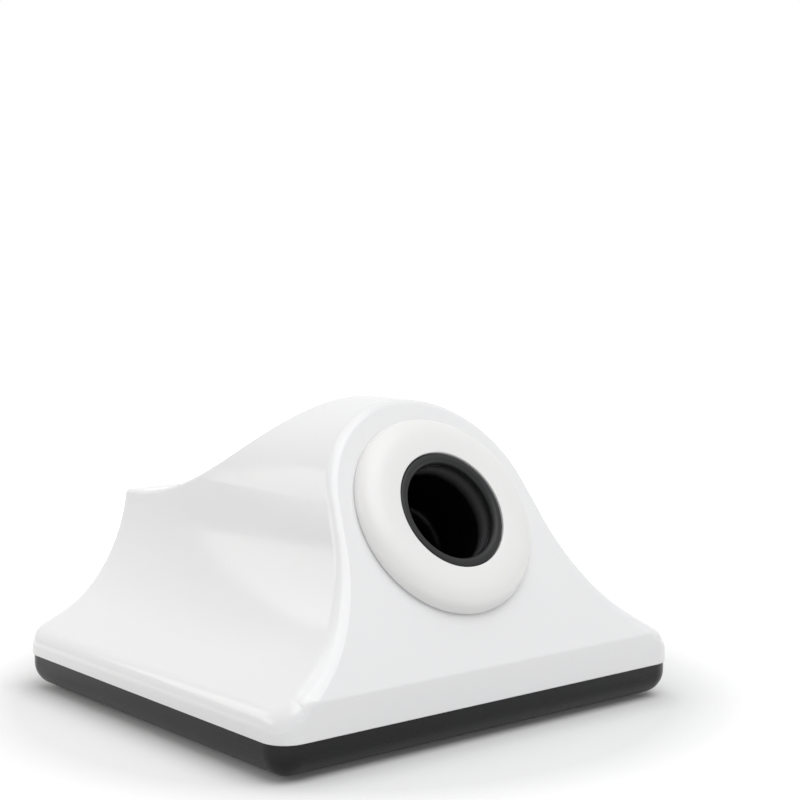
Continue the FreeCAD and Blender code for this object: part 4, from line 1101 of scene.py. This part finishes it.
@dataclass
class Studio:
    """Plain white floor, even white air and soft lamps.

    Attributes:
        floor_reach: Half the floor's width in metres.
        floor_tone: Reflectance of the floor.
        near_lift: White added to the floor beside the object, as the camera sees it.
        near: Distance up to which that holds.
        far: Distance from which the floor is plain white.
        sky: Strength of the even light from all round.
    """

    floor_reach: float = 6.0
    floor_tone: float = 0.8
    near_lift: float = 0.045
    near: float = 0.09
    far: float = 0.2
    sky: float = 0.45

    def build(self) -> None:
        """Builds the floor, the world and the lamps."""
        self._floor()
        self._world()
        for softbox in SOFTBOXES:
            softbox.hang(Vector((0.0, 0.0, 0.04)))

    def _floor(self) -> None:
        """Lays the floor, which keeps the object's shadow and turns plain white away from it."""
        shape = bmesh.new()
        bmesh.ops.create_grid(shape, x_segments=1, y_segments=1, size=self.floor_reach)
        mesh = bpy.data.meshes.new("studio_floor")
        shape.to_mesh(mesh)
        shape.free()
        floor = bpy.data.objects.new("studio_floor", mesh)
        bpy.context.scene.collection.objects.link(floor)
        material = bpy.data.materials.new("studio_floor_paper")
        material.use_nodes = True
        pad = NodePad(material)
        pad.shader.inputs["Roughness"].default_value = 0.9
        pad.shader.inputs["Specular IOR Level"].default_value = 0.1
        pad.shader.inputs["Base Color"].default_value = (self.floor_tone,) * 3 + (1.0,)
        distance = pad.add("ShaderNodeVectorMath")
        distance.operation = "LENGTH"
        pad.link(pad.object_place(), distance.inputs[0])
        lift = pad.spread(distance.outputs["Value"], self.near, self.far, self.near_lift, 1.0)
        glow = pad.add("ShaderNodeEmission")
        pad.link(lift, glow.inputs["Strength"])
        both = pad.add("ShaderNodeAddShader")
        pad.link(pad.shader.outputs["BSDF"], both.inputs[0])
        pad.link(glow.outputs["Emission"], both.inputs[1])
        choice = pad.add("ShaderNodeMixShader")
        pad.link(self._seen(pad.tree), choice.inputs["Fac"])
        pad.link(pad.shader.outputs["BSDF"], choice.inputs[1])
        pad.link(both.outputs["Shader"], choice.inputs[2])
        pad.link(choice.outputs["Shader"], pad.tree.nodes["Material Output"].inputs["Surface"])
        floor.data.materials.append(material)

    @staticmethod
    def _seen(tree: bpy.types.NodeTree) -> bpy.types.NodeSocket:
        """1 for what the camera sees straight, mirrored or through glass.

        Args:
            tree: Node tree to add to.

        Returns:
            The factor output.
        """
        path = tree.nodes.new("ShaderNodeLightPath")
        mirrored = tree.nodes.new("ShaderNodeMath")
        mirrored.operation = "MAXIMUM"
        tree.links.new(path.outputs["Is Camera Ray"], mirrored.inputs[0])
        tree.links.new(path.outputs["Is Glossy Ray"], mirrored.inputs[1])
        through = tree.nodes.new("ShaderNodeMath")
        through.operation = "MAXIMUM"
        tree.links.new(mirrored.outputs["Value"], through.inputs[0])
        tree.links.new(path.outputs["Is Transmission Ray"], through.inputs[1])
        return through.outputs["Value"]

    def _world(self) -> None:
        """Even light, with plain white behind the object."""
        world = bpy.data.worlds.new("studio_air")
        world.use_nodes = True
        bpy.context.scene.world = world
        tree = world.node_tree
        air = tree.nodes["Background"]
        air.inputs["Color"].default_value = (1.0, 1.0, 1.0, 1.0)
        air.inputs["Strength"].default_value = self.sky
        white = tree.nodes.new("ShaderNodeBackground")
        white.inputs["Color"].default_value = (1.0, 1.0, 1.0, 1.0)
        choice = tree.nodes.new("ShaderNodeMixShader")
        tree.links.new(self._seen(tree), choice.inputs["Fac"])
        tree.links.new(air.outputs["Background"], choice.inputs[1])
        tree.links.new(white.outputs["Background"], choice.inputs[2])
        tree.links.new(choice.outputs["Shader"], tree.nodes["World Output"].inputs["Surface"])


@dataclass
class PhotoCamera:
    """Camera at the photograph's place.

    Attributes:
        eye: Where it stands, in metres.
        yaw: Turn to the right of looking along +Y, in degrees.
        pitch: Tilt below the horizon, in degrees.
        lens: Focal length in millimetres on a sensor 36 mm wide.
    """

    eye: tuple[float, float, float] = (-0.29498, -0.38379, 0.12665)
    yaw: float = 39.34
    pitch: float = 5.24
    lens: float = 78.75

    def build(self) -> None:
        """Builds the camera and makes it the scene's own."""
        data = bpy.data.cameras.new("photo_camera")
        data.lens = self.lens
        data.sensor_width = 36.0
        camera = bpy.data.objects.new("photo_camera", data)
        yaw, pitch = math.radians(self.yaw), math.radians(self.pitch)
        ahead = Vector(
            (math.sin(yaw) * math.cos(pitch), math.cos(yaw) * math.cos(pitch), -math.sin(pitch))
        )
        camera.location = self.eye
        camera.rotation_mode = "QUATERNION"
        camera.rotation_quaternion = ahead.to_track_quat("-Z", "Y")
        data.clip_start, data.clip_end = 0.01, 50.0
        bpy.context.scene.collection.objects.link(camera)
        bpy.context.scene.camera = camera


def main() -> None:
    """Builds the camera, the studio and every finish and piece, in order."""
    logging.basicConfig(level=logging.INFO, format="%(name)s: %(message)s")
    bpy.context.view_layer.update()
    bpy.context.scene.view_settings.view_transform = "Standard"
    PhotoCamera().build()
    Studio().build()
    wardrobe = Wardrobe()
    for node, finish in NODE_FINISHES.items():
        wardrobe.dress(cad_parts[node], finish)
        LOG.info("%s: %s", node, finish.name)
    bench = Bench(wardrobe)
    mouth = Mouth()
    mouth.build(bench)
    Winding().build(bench, mouth.axes())
    Chokes().build(bench)
    RearPanel().build(bench)


if __name__ == "__main__":
    main()
